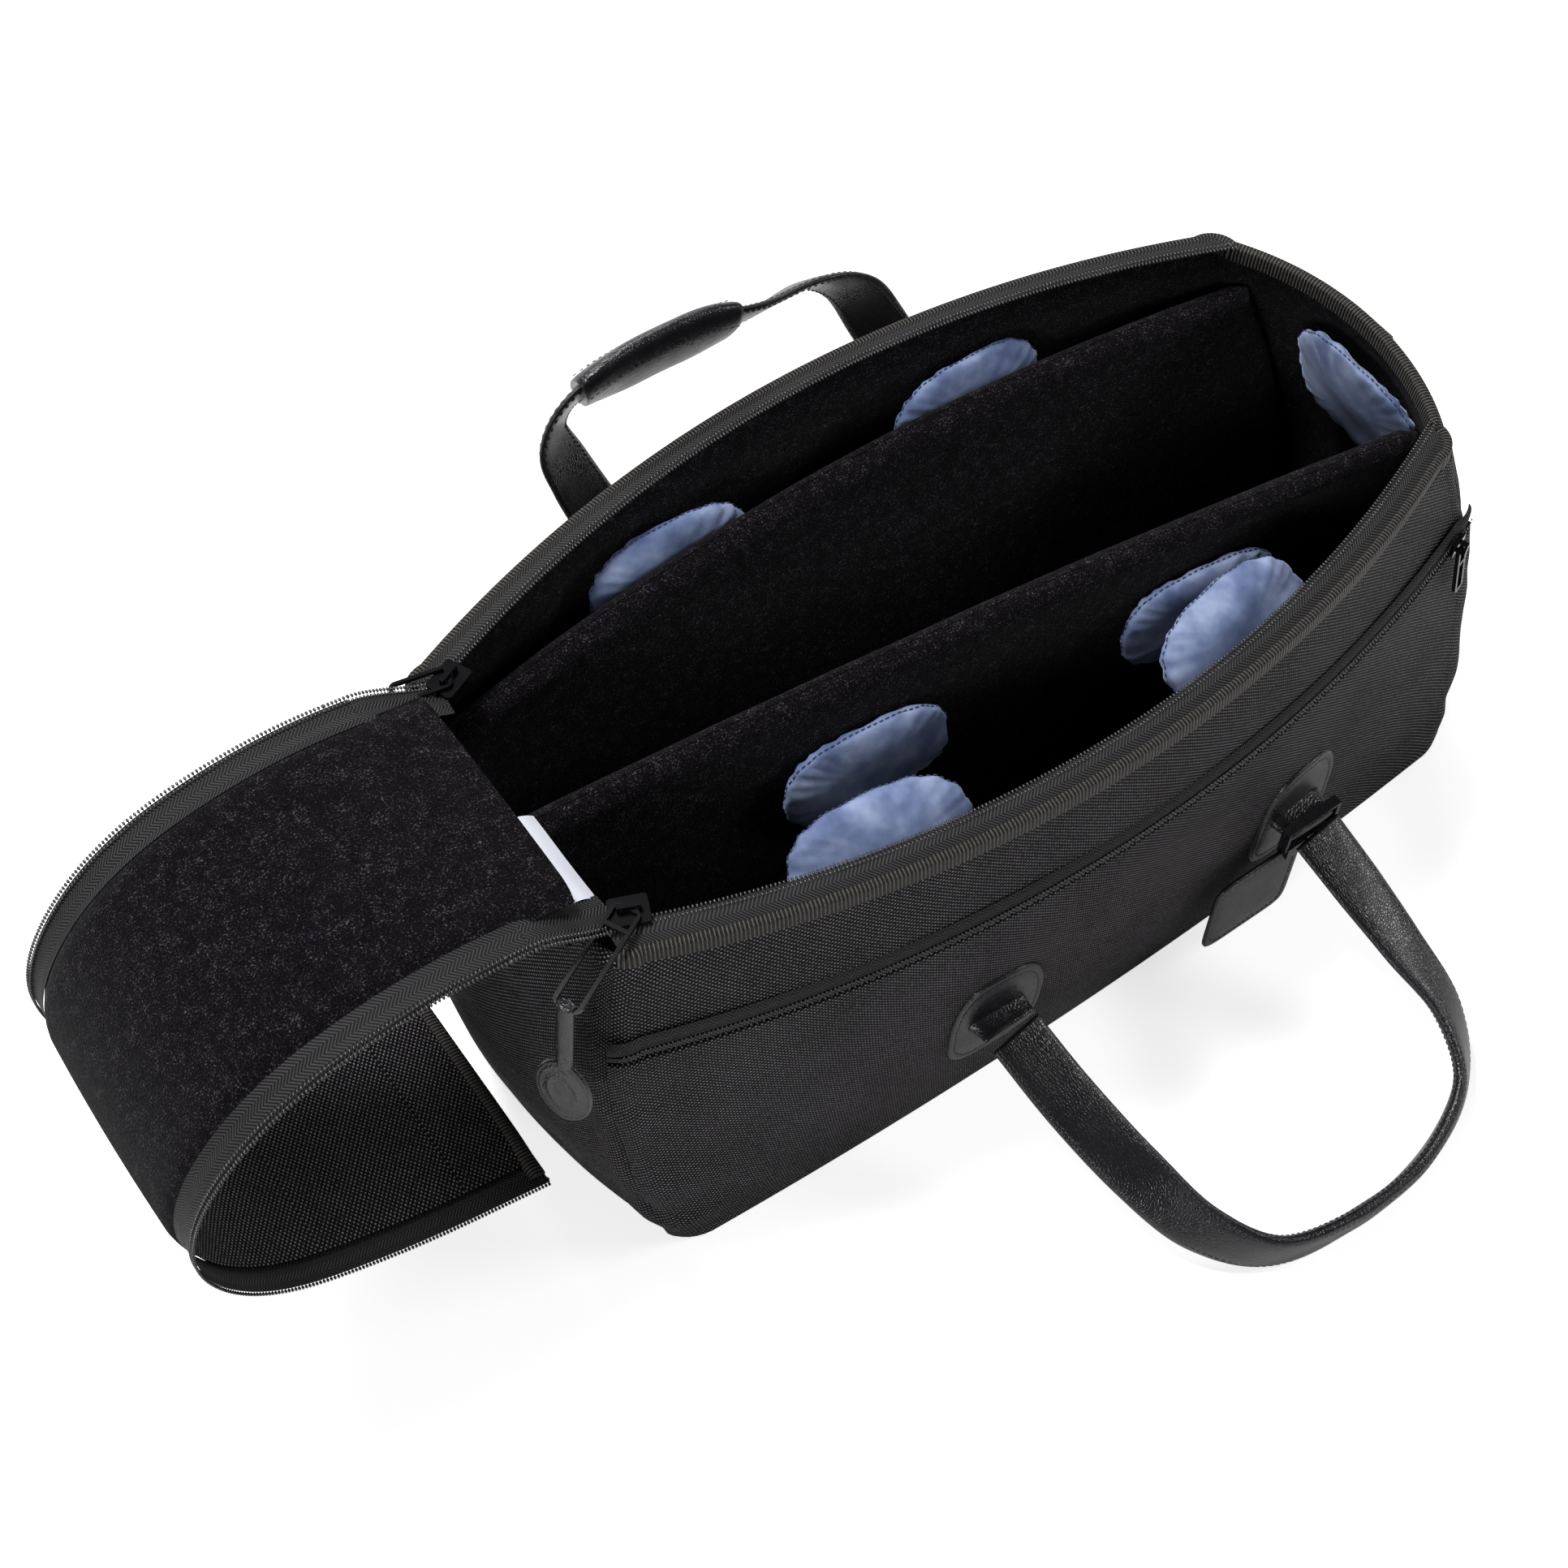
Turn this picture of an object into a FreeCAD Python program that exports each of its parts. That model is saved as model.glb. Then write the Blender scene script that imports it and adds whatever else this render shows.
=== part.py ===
import FreeCAD, Part
import Sketcher
import math
import os
from types import SimpleNamespace

# Soft padded instrument bag with a long zipped lid, shown unzipped and rolled back.
# X runs along the bag, Y to the rear, Z up. The origin is the centre of the base, on the floor.

doc = FreeCAD.newDocument("padded_bag")
Vec = FreeCAD.Vector

# Driving dimensions, in millimetres

sheet = doc.addObject("Spreadsheet::Sheet", "size")
dimensions = (
    # shell of the bag
    ("rim_height", 272), ("base_half_length", 288), ("base_half_width", 128),
    ("rim_left_draw", 4), ("rim_right_draw", 48), ("rim_width_draw", 31),
    ("base_side_bow", 9), ("rim_side_bow", 49), ("base_end_bow", 14),
    ("hinge_bow", 1), ("rim_right_bow", 22), ("end_swell", 18), ("end_bow_swell", 10),
    ("side_swell", 7), ("base_corner", 30), ("rim_corner", 16),
    # layers of its wall and floor
    ("wall_thick", 14), ("fabric_thick", 1.6), ("lining_thick", 3), ("layer_gap", 0.1),
    ("board_thick", 3), ("foot_height", 8.16), ("floor_inset", 3),
    # rim, zips and pocket
    ("binding_thick", 1.3), ("binding_depth", 9), ("tape_rise", 2.5), ("tape_thick", 1),
    ("tape_overlap", 4), ("teeth_end_inset", 19), ("teeth_mid_inset", 13),
    ("teeth_left_inset", 8), ("teeth_right_inset", 4), ("coil_size", 3.6),
    ("pocket_thick", 3.4), ("pocket_drop", 76), ("pocket_tape_width", 16),
    ("pocket_tape_thick", 0.8), ("pocket_row", 1.8), ("pocket_slit", 1.8),
    # dividers and pads
    ("divider_thick", 16), ("divider_drop", 27), ("divider_crown", 7),
    ("divider_end_gap", 6), ("divider_foot", 44), ("rear_top_end", 72), ("rear_top_mid", 98),
    ("rear_top_right", 70), ("front_top_left", 8), ("front_top_mid", 20), ("front_top_right", 62),
    ("pad_length", 96), ("pad_height", 54), ("wall_pad_thick", 22), ("pad_thick", 16),
    ("pad_gap", 1.2), ("wall_pad_gap", 1.1), ("wall_pad_lean", 50), ("rear_pad_drop", 22),
    ("wall_pad_drop", 30),
    ("end_pad_radius", 50), ("end_pad_thick", 13),
    # lid
    ("lid_end_gap", 8), ("lid_thick", 6.5), ("lid_side_inset", 31), ("lid_zip_inset", 13),
    ("lid_hinge_rise", 18), ("lid_joint_gap", 0.4), ("lid_notch", 30), ("lid_corner", 12),
    ("hinge_web", 8), ("hinge_web_inset", 23), ("web_clearance", 1.5),
    # handles and their patches
    ("handle_spread", 212), ("handle_centre", 16), ("handle_root_height", 92),
    ("front_reach", 184), ("front_rest_height", 10), ("rear_reach", 194), ("rear_lean", 30),
    ("strap_width", 33), ("strap_thick", 5), ("patch_width", 58), ("patch_height", 84),
    ("patch_corner", 20), ("patch_thick", 3), ("tab_depth", 9), ("tab_height", 14),
    ("root_clearance", 0.3), ("rear_root_clearance", 0.75), ("grip_width", 46), ("grip_thick", 20),
    # luggage tag
    ("tag_width", 62), ("tag_drop", 26), ("tag_thick", 3), ("tag_corner", 8),
    ("tag_ring_clearance", 0.4), ("tag_ring_wall", 2), ("tag_ring_depth", 6),
    ("tag_strap_width", 14), ("tag_strap_thick", 1.5), ("tag_offset", 24),
    ("tag_land", 3), ("tag_slot_height", 6), ("tag_slot_width", 18), ("tag_eye_clearance", 0.9),
    # zip sliders, pulls and fob
    ("slider_length", 19), ("slider_wall", 1.8), ("slider_clearance", 0.5), ("slot_height", 2.4),
    ("slider_post", 2.2), ("crown_height", 4.8), ("crown_width", 2.4), ("crown_thick", 1.6),
    ("crown_length", 11.4),
    ("slider_inset", 11), ("pull_length", 58), ("pull_width", 15), ("pull_thick", 2.2),
    ("pull_slot", 11), ("short_pull_length", 30), ("short_pull_width", 13),
    ("short_pull_slot", 9.4), ("pull_head", 9),
    ("fob_reach", 66), ("fob_strap_width", 8.4), ("fob_strap_thick", 5.8), ("loop_gap", 3.4),
    ("loop_length", 4), ("fob_length", 46), ("fob_width", 30), ("fob_thick", 3.4),
    ("pocket_slider_length", 13), ("pocket_slider_height", 8.8), ("pocket_plate", 1),
    ("pocket_post", 0.9), ("pocket_slider_lift", 0.5), ("pocket_plate_lift", 0.9),
    ("tab_pull_length", 34),
    ("tab_pull_width", 9), ("tab_pull_slot", 5), ("tab_pull_hole", 9),
    # carrying-strap rings and the sewn label
    ("ring_inner", 26), ("ring_wire", 3.6), ("ring_drop", 46), ("ring_tab_wall", 1.8),
    ("ring_tab_width", 24), ("ring_tab_length", 34), ("ring_clearance", 0.5),
    ("label_width", 54), ("label_length", 15), ("label_thick", 0.8), ("label_rise", 9.4),
    ("label_turn", 33), ("label_place", 36),
)

# Sizes that follow the ones above
followers = (
    ("rim_left", "base_half_length - rim_left_draw"),
    ("rim_right", "base_half_length - rim_right_draw"),
    ("rim_half_width", "base_half_width - rim_width_draw"),
    ("teeth_left", "rim_left - teeth_left_inset"),
    ("teeth_right", "rim_right - teeth_right_inset"),
    ("teeth_end_half", "rim_half_width - teeth_end_inset"),
    ("teeth_mid_half", "rim_half_width + rim_side_bow - teeth_mid_inset"),
    ("pocket_top", "rim_height - pocket_drop"),
    ("divider_height", "rim_height - divider_drop"),
    ("lid_length", "rim_left + rim_right - lid_end_gap"),
    ("lid_half_width", "rim_half_width - lid_side_inset"),
    ("lid_zip_half", "rim_half_width - lid_zip_inset"),
    ("lid_hinge_height", "rim_height + lid_hinge_rise"),
    ("hinge_web_half", "rim_half_width - hinge_web_inset"),
    ("front_drop", "handle_root_height - front_rest_height"),
    ("tag_height", "handle_root_height - tag_drop"),
    ("slider_start", "teeth_left - slider_inset"),
    ("ring_height", "rim_height - ring_drop"),
)
rows = dimensions + tuple((name, "=" + rule) for name, rule in followers)
for row, (name, value) in enumerate(rows, start=1):
    sheet.set("A%d" % row, name)
    sheet.set("B%d" % row, str(value))
    sheet.setAlias("B%d" % row, name)
doc.recompute()
size = SimpleNamespace(**{name: float(getattr(sheet, name)) for name, value in rows})

# Height shares of the levels that shape the wall, and what each level takes there
level_shares = (0, 0.03, 0.09, 0.18, 0.3, 0.42, 0.54, 0.65, 0.75, 0.84, 0.92, 1)
swell_shares = (0, 0.22, 0.42, 0.64, 0.85, 0.97, 1, 0.94, 0.79, 0.57, 0.3, 0)
wall_shares = (1, 1, 1, 1, 1, 1, 1, 1, 1, 0.95, 0.8, 0.36)

results = []


def keep(obj, label):
    obj.Label = label
    results.append(obj)
    return obj


def keep_shape(label, shape, placement=None):
    obj = doc.addObject("Part::Feature", label)
    obj.Shape = shape
    if placement:
        obj.Placement = placement
    return keep(obj, label)


def blend(table, share):
    for index in range(len(level_shares) - 1):
        low, high = level_shares[index], level_shares[index + 1]
        if share <= high:
            part = (share - low) / (high - low)
            return table[index] * (1 - part) + table[index + 1] * part
    return table[-1]


def between(at_base, at_rim, share):
    return at_base * (1 - share) + at_rim * share


def wall_at(share):
    return size.wall_thick * blend(wall_shares, share)


def plan_at(share):
    """Plan sizes of the bag's outside at a share of the rim height."""
    swell = blend(swell_shares, share)
    return SimpleNamespace(
        left=between(size.base_half_length, size.rim_left, share) + size.end_swell * swell,
        right=between(size.base_half_length, size.rim_right, share) + size.end_swell * swell,
        half=between(size.base_half_width, size.rim_half_width, share),
        side_bow=between(size.base_side_bow, size.rim_side_bow, share) + size.side_swell * swell,
        left_bow=between(size.base_end_bow, size.hinge_bow, share) + size.end_bow_swell * swell,
        right_bow=between(size.base_end_bow, size.rim_right_bow, share)
        + size.end_bow_swell * swell,
        corner=between(size.base_corner, size.rim_corner, share))


sides = {"front": (Vec(-1, 0, 0), Vec(0, -1, 0), Vec(1, 0, 0)),
         "right": (Vec(0, -1, 0), Vec(1, 0, 0), Vec(0, 1, 0)),
         "rear": (Vec(1, 0, 0), Vec(0, 1, 0), Vec(-1, 0, 0)),
         "left": (Vec(0, 1, 0), Vec(-1, 0, 0), Vec(0, -1, 0))}


def side_path(side, share, inset):
    """Seven points of one side in plan: half a corner, the bowed side, half a corner."""
    plan = plan_at(share)
    corners = {"front": (-plan.left + plan.corner, -plan.half + plan.corner),
               "right": (plan.right - plan.corner, -plan.half + plan.corner),
               "rear": (plan.right - plan.corner, plan.half - plan.corner),
               "left": (-plan.left + plan.corner, plan.half - plan.corner)}
    order = list(sides)
    start = Vec(*corners[side], 0)
    end = Vec(*corners[order[(order.index(side) + 1) % len(order)]], 0)
    before, out, after = sides[side]
    bow = {"front": plan.side_bow, "rear": plan.side_bow,
           "left": plan.left_bow, "right": plan.right_bow}[side]
    radius = plan.corner - inset

    def on_corner(centre, neighbour, quarter_share):
        angle = math.pi / 2 * quarter_share
        return centre + (out * math.cos(angle) + neighbour * math.sin(angle)) * radius

    middle = (start + end) * 0.5 + out * (radius + bow)
    return [on_corner(start, before, 0.5), on_corner(start, before, 0.25), start + out * radius,
            middle, end + out * radius, on_corner(end, after, 0.25), on_corner(end, after, 0.5)]


def path_edges(points, height):
    raised = [Vec(p.x, p.y, height) for p in points]
    return [Part.Arc(*raised[index:index + 3]).toShape() for index in (0, 2, 4)]


def band_wire(side, share, outer, inner, height):
    outside = side_path(side, share, outer)
    inside = side_path(side, share, inner)[::-1]
    lift = Vec(0, 0, height)
    return Part.Wire(path_edges(outside, height)
                     + [Part.makeLine(outside[-1] + lift, inside[0] + lift)]
                     + path_edges(inside, height)
                     + [Part.makeLine(inside[-1] + lift, outside[0] + lift)])


def wall_panel(side, outer, inner, shares, ruled=True):
    """Panel of one side between two depths in the wall, lofted up through its levels."""
    wires = [band_wire(side, share, outer(share), inner(share), size.rim_height * share)
             for share in shares]
    return Part.makeLoft(wires, True, ruled)


def levels_between(low, high):
    return [low] + [share for share in level_shares if low < share < high] + [high]


def outline_plate(share, inset, low, high):
    edges = []
    for side in sides:
        edges += path_edges(side_path(side, share, inset), low)
    face = Part.Face(Part.Wire(edges))
    return face.extrude(Vec(0, 0, high - low))


def arc_rise(half_chord, bow, distance):
    """How far an arc of this chord and bow stands out at a distance from its middle."""
    radius = (half_chord ** 2 + bow ** 2) / (2 * bow)
    return bow - radius + math.sqrt(radius ** 2 - distance ** 2)


def side_reach(share, x):
    """Half width of the bag's outside at a place along it."""
    plan = plan_at(share)
    middle = (plan.right - plan.left) / 2
    half_chord = (plan.right + plan.left) / 2 - plan.corner
    return plan.half + arc_rise(half_chord, plan.side_bow, x - middle)


def end_reach(share, y, left):
    """Distance of an end's outside from the middle of the base, at a place across it."""
    plan = plan_at(share)
    half_chord = plan.half - plan.corner
    bow = plan.left_bow if left else plan.right_bow
    return (plan.left if left else plan.right) + arc_rise(half_chord, bow, min(abs(y), half_chord))


# Walls: outer fabric, foam and lining, and the floor

def make_shell():
    skin_shares = level_shares
    foam_shares = level_shares[1:-1]
    lining_shares = level_shares[1:]
    foam_start = size.fabric_thick + size.layer_gap
    for side in sides:
        keep_shape("outer_%s_panel" % side, wall_panel(
            side, lambda share: 0, lambda share: size.fabric_thick, skin_shares))
        keep_shape("%s_foam" % side, wall_panel(
            side, lambda share: foam_start,
            lambda share: wall_at(share) - size.lining_thick - size.layer_gap, foam_shares))
        keep_shape("%s_lining" % side, wall_panel(
            side, lambda share: wall_at(share) - size.lining_thick, wall_at, lining_shares))
    board_low = size.fabric_thick + size.layer_gap
    board_high = board_low + size.board_thick
    keep_shape("outer_base_panel", outline_plate(0, size.floor_inset, 0, size.fabric_thick))
    keep_shape("base_board", outline_plate(0, size.floor_inset, board_low, board_high))
    keep_shape("floor_lining", outline_plate(
        0, size.floor_inset, board_high + size.layer_gap, size.foot_height - size.layer_gap))


def binding_solid(side):
    low_share = 1 - size.binding_depth / size.rim_height
    grow = size.binding_thick + size.layer_gap
    levels = (low_share, 1)
    block = wall_panel(side, lambda share: -grow, lambda share: wall_at(share) + grow, levels, True)
    cap_base = Part.Face(band_wire(side, 1, -grow, wall_at(1) + grow, size.rim_height))
    block = block.fuse(cap_base.extrude(Vec(0, 0, grow))).removeSplitter()
    slot = wall_panel(side, lambda share: -size.layer_gap,
                      lambda share: wall_at(share) + size.layer_gap,
                      (2 * low_share - 1, 1), True)
    cap_slot = Part.Face(band_wire(side, 1, -size.layer_gap, wall_at(1) + size.layer_gap,
                                   size.rim_height))
    slot = slot.fuse(cap_slot.extrude(Vec(0, 0, size.layer_gap))).removeSplitter()
    return block.cut(slot)


def teeth_arc():
    """Radius of the toothed edge's arc, and its centre's distance from the middle line."""
    half_chord = (size.teeth_left + size.teeth_right) / 2
    bow = size.teeth_mid_half - size.teeth_end_half
    radius = (half_chord ** 2 + bow ** 2) / (2 * bow)
    return radius, radius - size.teeth_mid_half


def teeth_middle():
    return (size.teeth_right - size.teeth_left) / 2


def teeth_angle(x):
    return math.asin((x - teeth_middle()) / teeth_arc()[0])


def tape_height():
    return size.rim_height + size.tape_rise


def mirror_rear(shape):
    return shape.mirror(Vec(0, 0, 0), Vec(0, 1, 0))


def rim_tape():
    """Front tape: from above the binding in to the toothed edge, flat and level."""
    outside = side_path("front", 1, wall_at(1) - size.tape_overlap)[2:5]
    radius, offset = teeth_arc()
    radius += size.layer_gap
    inside = []
    for x in (outside[0].x, teeth_middle(), outside[-1].x):
        reach = math.sqrt(radius ** 2 - (x - teeth_middle()) ** 2) - offset
        inside.append(Vec(x, -reach, 0))
    edges = [Part.Arc(*outside).toShape(), Part.makeLine(outside[-1], inside[-1]),
             Part.Arc(*inside[::-1]).toShape(), Part.makeLine(inside[0], outside[0])]
    tape = Part.Face(Part.Wire(edges)).extrude(Vec(0, 0, size.tape_thick))
    tape.translate(Vec(0, 0, tape_height() - size.tape_thick / 2))
    return tape


def rim_coil():
    """Front row of teeth as an eight-sided bar turned about the arc's centre."""
    radius, offset = teeth_arc()
    middle = teeth_middle()
    ring = []
    for index in range(8):
        angle = math.pi / 4 * (index + 0.5)
        reach = size.coil_size / 2 / math.cos(math.pi / 8)
        ring.append(Vec(0, -radius + size.coil_size / 2 + reach * math.cos(angle),
                        reach * math.sin(angle)))
    face = Part.Face(Part.makePolygon(ring + ring[:1]))
    start, end = teeth_angle(-size.teeth_left), teeth_angle(size.teeth_right)
    face.rotate(Vec(0, 0, 0), Vec(0, 0, 1), math.degrees(start))
    coil = face.revolve(Vec(0, 0, 0), Vec(0, 0, 1), math.degrees(end - start))
    coil.translate(Vec(middle, offset, tape_height()))
    return coil


def make_rim():
    keep_shape("rim_binding", Part.makeCompound(
        [binding_solid(side) for side in ("front", "right", "rear")]))
    coil = rim_coil()
    tape = rim_tape()
    keep_shape("rim_zip_tapes", Part.makeCompound([tape, mirror_rear(tape)]))
    keep_shape("rim_zip_teeth", Part.makeCompound([coil, mirror_rear(coil)]))


# Front pocket: a second fabric layer over the lower front, closed by its own zip

def pocket_share(rise):
    return (size.pocket_top + rise) / size.rim_height


def pocket_strip(under, thick, low, high):
    """Upright strip along the front, shaped to the wall at the middle of the zip."""
    share = pocket_share(pocket_middle())
    wire = band_wire("front", share, -under - thick, -under, size.pocket_top + low)
    return Part.Face(wire).extrude(Vec(0, 0, high - low))


def pocket_middle():
    return size.pocket_tape_width / 2


def make_pocket():
    gap = size.layer_gap
    keep_shape("pocket_panel", wall_panel(
        "front", lambda share: -gap - size.pocket_thick, lambda share: -gap,
        levels_between(level_shares[1], pocket_share(-gap))))
    under = gap + size.pocket_thick - size.pocket_tape_thick
    middle, slit = pocket_middle(), size.pocket_slit / 2
    tapes = [pocket_strip(under, size.pocket_tape_thick, 0, middle - slit),
             pocket_strip(under, size.pocket_tape_thick, middle + slit, middle * 2)]
    keep_shape("pocket_zip_tape", Part.makeCompound(tapes))
    out = under + size.pocket_tape_thick + gap
    rows = [pocket_strip(out, size.pocket_row, middle - slit - size.pocket_row, middle - slit),
            pocket_strip(out, size.pocket_row, middle + slit, middle + slit + size.pocket_row)]
    keep_shape("pocket_zip_teeth", Part.makeCompound(rows))


# Dividers: padded sheets that lean between the floor and their tops

def divider_wire(share, left_y, mid_y, right_y, thick):
    wall = wall_at(share) + size.divider_end_gap
    left_x = -end_reach(share, left_y, True) + wall
    right_x = end_reach(share, right_y, False) - wall
    half = Vec(0, thick / 2, 0)
    points = [Vec(left_x, left_y, 0), Vec((left_x + right_x) / 2, mid_y, 0),
              Vec(right_x, right_y, 0)]
    front = [p - half for p in points]
    rear = [p + half for p in points]
    wire = Part.Wire([Part.Arc(*front).toShape(), Part.makeLine(front[-1], rear[-1]),
                      Part.Arc(*rear[::-1]).toShape(), Part.makeLine(rear[0], front[0])])
    wire.translate(Vec(0, 0, size.rim_height * share))
    return wire


divider_crest_shares = (0, 0.5, 0.85, 1)
divider_thick_shares = (1, 0.87, 0.55, 0.25)


def divider(foot_y, tops):
    """Loft from a nearly straight foot to a bowed top with a rounded crest."""
    foot_share = (size.foot_height + size.layer_gap) / size.rim_height
    top_share = size.divider_height / size.rim_height
    crown = size.divider_crown / size.rim_height
    foot_bow = size.layer_gap * 5
    levels = [(foot_share, 1)]
    levels += [(top_share - crown * (1 - crest), thick)
               for crest, thick in zip(divider_crest_shares, divider_thick_shares)]
    wires = []
    for share, thick in levels:
        lean = (share - foot_share) / (top_share - foot_share)
        ys = [between(foot_y, top, lean) for top in tops]
        ys[1] += foot_bow * (1 - lean)
        wires.append(divider_wire(share, *ys, size.divider_thick * thick))
    return Part.makeLoft(wires, True, True)


def rear_divider_tops():
    return size.rear_top_end, size.rear_top_mid, size.rear_top_right


def front_divider_tops():
    return size.front_top_left, -size.front_top_mid, -size.front_top_right


def make_dividers():
    keep_shape("rear_divider", divider(size.divider_foot, rear_divider_tops()))
    keep_shape("front_divider", divider(-size.divider_foot, front_divider_tops()))


# Pads: small velvet cushions, thickest in the middle, drawn in at their ends

pad_station_shares = (-0.5, -0.32, 0, 0.32, 0.5)
pad_height_shares = (0.62, 0.93, 1, 0.93, 0.62)
pad_thick_shares = (0.3, 0.85, 1, 0.85, 0.3)


def pad_solid(full_thick):
    """Pillow along X that stands on its back seam: two arcs at each station, lofted."""
    wires = []
    for place, tall, thick in zip(pad_station_shares, pad_height_shares, pad_thick_shares):
        x = place * size.pad_length
        half_height = size.pad_height * tall / 2
        half_thick = full_thick * thick / 2
        low, high = Vec(x, 0, -half_height), Vec(x, 0, half_height)
        wires.append(Part.Wire([Part.Arc(low, Vec(x, half_thick, 0), high).toShape(),
                                Part.Arc(high, Vec(x, -half_thick, 0), low).toShape()]))
    return Part.makeLoft(wires, True, False)


def placed_pad(full_thick, x, y, z, lean, turn=0):
    pad = pad_solid(full_thick)
    pad.rotate(Vec(0, 0, 0), Vec(1, 0, 0), lean)
    pad.rotate(Vec(0, 0, 0), Vec(0, 0, 1), turn)
    pad.translate(Vec(x, y, z))
    return pad


rear_pad_shares = (-0.225, 0.15)
divider_pad_shares = (-0.18, 0.21)
divider_pad_stand_shares = (0.91, 1.08)
wall_pad_shares = (-0.22, 0.2)


def divider_lean(foot_y, top_y):
    return math.degrees(math.atan2(top_y - foot_y, size.divider_height - size.foot_height))


def divider_face(foot_y, tops, x, height):
    """Middle of a divider at a place along it and up it."""
    lean = (height - size.foot_height) / (size.divider_height - size.foot_height)
    share = height / size.rim_height
    left_y, mid_y, right_y = [between(foot_y, top, lean) for top in tops]
    left_x = -end_reach(share, left_y, True)
    right_x = end_reach(share, right_y, False)
    along = (x - left_x) / (right_x - left_x)
    return (left_y * (1 - along) * (1 - 2 * along) + mid_y * 4 * along * (1 - along)
            + right_y * along * (2 * along - 1))


def make_pads():
    length = size.rim_left + size.rim_right
    rear_height = size.divider_height - size.rear_pad_drop
    stand = size.divider_thick / 2 + size.pad_thick / 2 + size.pad_gap
    rear_pads = []
    for share in rear_pad_shares:
        x = share * length
        y = divider_face(size.divider_foot, rear_divider_tops(), x, rear_height)
        rear_pads.append(placed_pad(size.pad_thick, x, y + stand, rear_height,
                                    -divider_lean(size.divider_foot, size.rear_top_mid)))
    keep_shape("rear_divider_pads", Part.makeCompound(rear_pads))
    front_height = size.divider_height - size.pad_height
    divider_pads = []
    for share, near in zip(divider_pad_shares, divider_pad_stand_shares):
        x = share * length
        y = divider_face(-size.divider_foot, front_divider_tops(), x, front_height)
        slope = divider_face(-size.divider_foot, front_divider_tops(), x + size.pad_length / 2,
                             front_height) - y
        turn = math.degrees(math.atan2(slope, size.pad_length / 2))
        divider_pads.append(placed_pad(size.pad_thick, x, y - stand * near, front_height,
                                       -divider_lean(-size.divider_foot, -size.front_top_mid),
                                       turn))
    keep_shape("front_divider_pads", Part.makeCompound(divider_pads))
    wall_height = size.rim_height - size.wall_pad_drop
    lean = math.radians(size.wall_pad_lean)
    edge_in = size.pad_height / 2 * math.sin(lean) + size.wall_pad_gap
    edge_level = (wall_height - size.pad_height / 2 * math.cos(lean)) / size.rim_height
    wall_pads = []
    for share in wall_pad_shares:
        x = share * length + (size.rim_right - size.rim_left) / 2
        y = side_reach(edge_level, x) - wall_at(edge_level)
        slope = side_reach(edge_level, x + size.pad_length / 2) - wall_at(edge_level) - y
        turn = -math.degrees(math.atan2(slope, size.pad_length / 2))
        wall_pads.append(placed_pad(size.wall_pad_thick, x, edge_in - y, wall_height,
                                    -size.wall_pad_lean, turn))
    keep_shape("front_wall_pads", Part.makeCompound(wall_pads))
    end_pad = doc.addObject("Part::Ellipsoid", "end_wall_pad")
    end_pad.setExpression("Radius1", "size.end_pad_thick / 2")
    end_pad.setExpression("Radius2", "size.end_pad_radius")
    end_height = size.divider_height - size.end_pad_radius * 0.7
    reach, lean = end_slope(end_height, False)
    inside = reach - size.wall_thick - size.end_pad_thick * 1.2
    end_pad.Placement = FreeCAD.Placement(
        Vec(inside, -size.end_pad_thick, end_height), FreeCAD.Rotation(Vec(0, 1, 0), 90 - lean))
    keep(end_pad, "end_wall_pad")


def end_slope(height, left):
    """Reach of an end wall at a height, and how far it leans in from upright, in degrees."""
    step = size.end_pad_radius / 2
    above = end_reach((height + step) / size.rim_height, 0, left)
    below = end_reach((height - step) / size.rim_height, 0, left)
    lean = math.degrees(math.atan2(below - above, 2 * step))
    return end_reach(height / size.rim_height, 0, left), lean


# Sketch helpers for the parts that are cut from sheet or moulded

def new_body(label):
    body = doc.addObject("PartDesign::Body", label)
    return keep(body, label)


def new_sketch(body, role):
    plane = [f for f in body.Origin.OriginFeatures if f.Role == role][0]
    sketch = body.newObject("Sketcher::SketchObject", body.Name + "_sketch")
    sketch.AttachmentSupport = (plane, [""])
    sketch.MapMode = "FlatFace"
    return sketch


def centred_rectangle(sketch, width, height, start=(10, 6)):
    """Rectangle about the sketch's origin, with both sizes as expressions."""
    half_x, half_y = start
    corners = [Vec(-half_x, -half_y, 0), Vec(half_x, -half_y, 0),
               Vec(half_x, half_y, 0), Vec(-half_x, half_y, 0)]
    first = sketch.GeometryCount
    for index in range(4):
        sketch.addGeometry(Part.LineSegment(corners[index], corners[(index + 1) % 4]), False)
    for index in range(4):
        sketch.addConstraint(Sketcher.Constraint(
            "Coincident", first + index, 2, first + (index + 1) % 4, 1))
    for index, kind in enumerate(("Horizontal", "Vertical", "Horizontal", "Vertical")):
        sketch.addConstraint(Sketcher.Constraint(kind, first + index))
    sketch.addConstraint(Sketcher.Constraint("Symmetric", first, 1, first + 2, 1, -1, 1))
    wide = sketch.addConstraint(Sketcher.Constraint(
        "DistanceX", first, 1, first, 2, 2 * half_x))
    tall = sketch.addConstraint(Sketcher.Constraint(
        "DistanceY", first + 1, 1, first + 1, 2, 2 * half_y))
    sketch.setExpression("Constraints[%d]" % wide, width)
    sketch.setExpression("Constraints[%d]" % tall, height)


def pad_sketch(body, sketch, length, midplane=False):
    pad = body.newObject("PartDesign::Pad", body.Name + "_pad")
    pad.Profile = sketch
    pad.setExpression("Length", length)
    pad.Midplane = midplane
    sketch.Visibility = False
    doc.recompute()
    return pad


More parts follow.
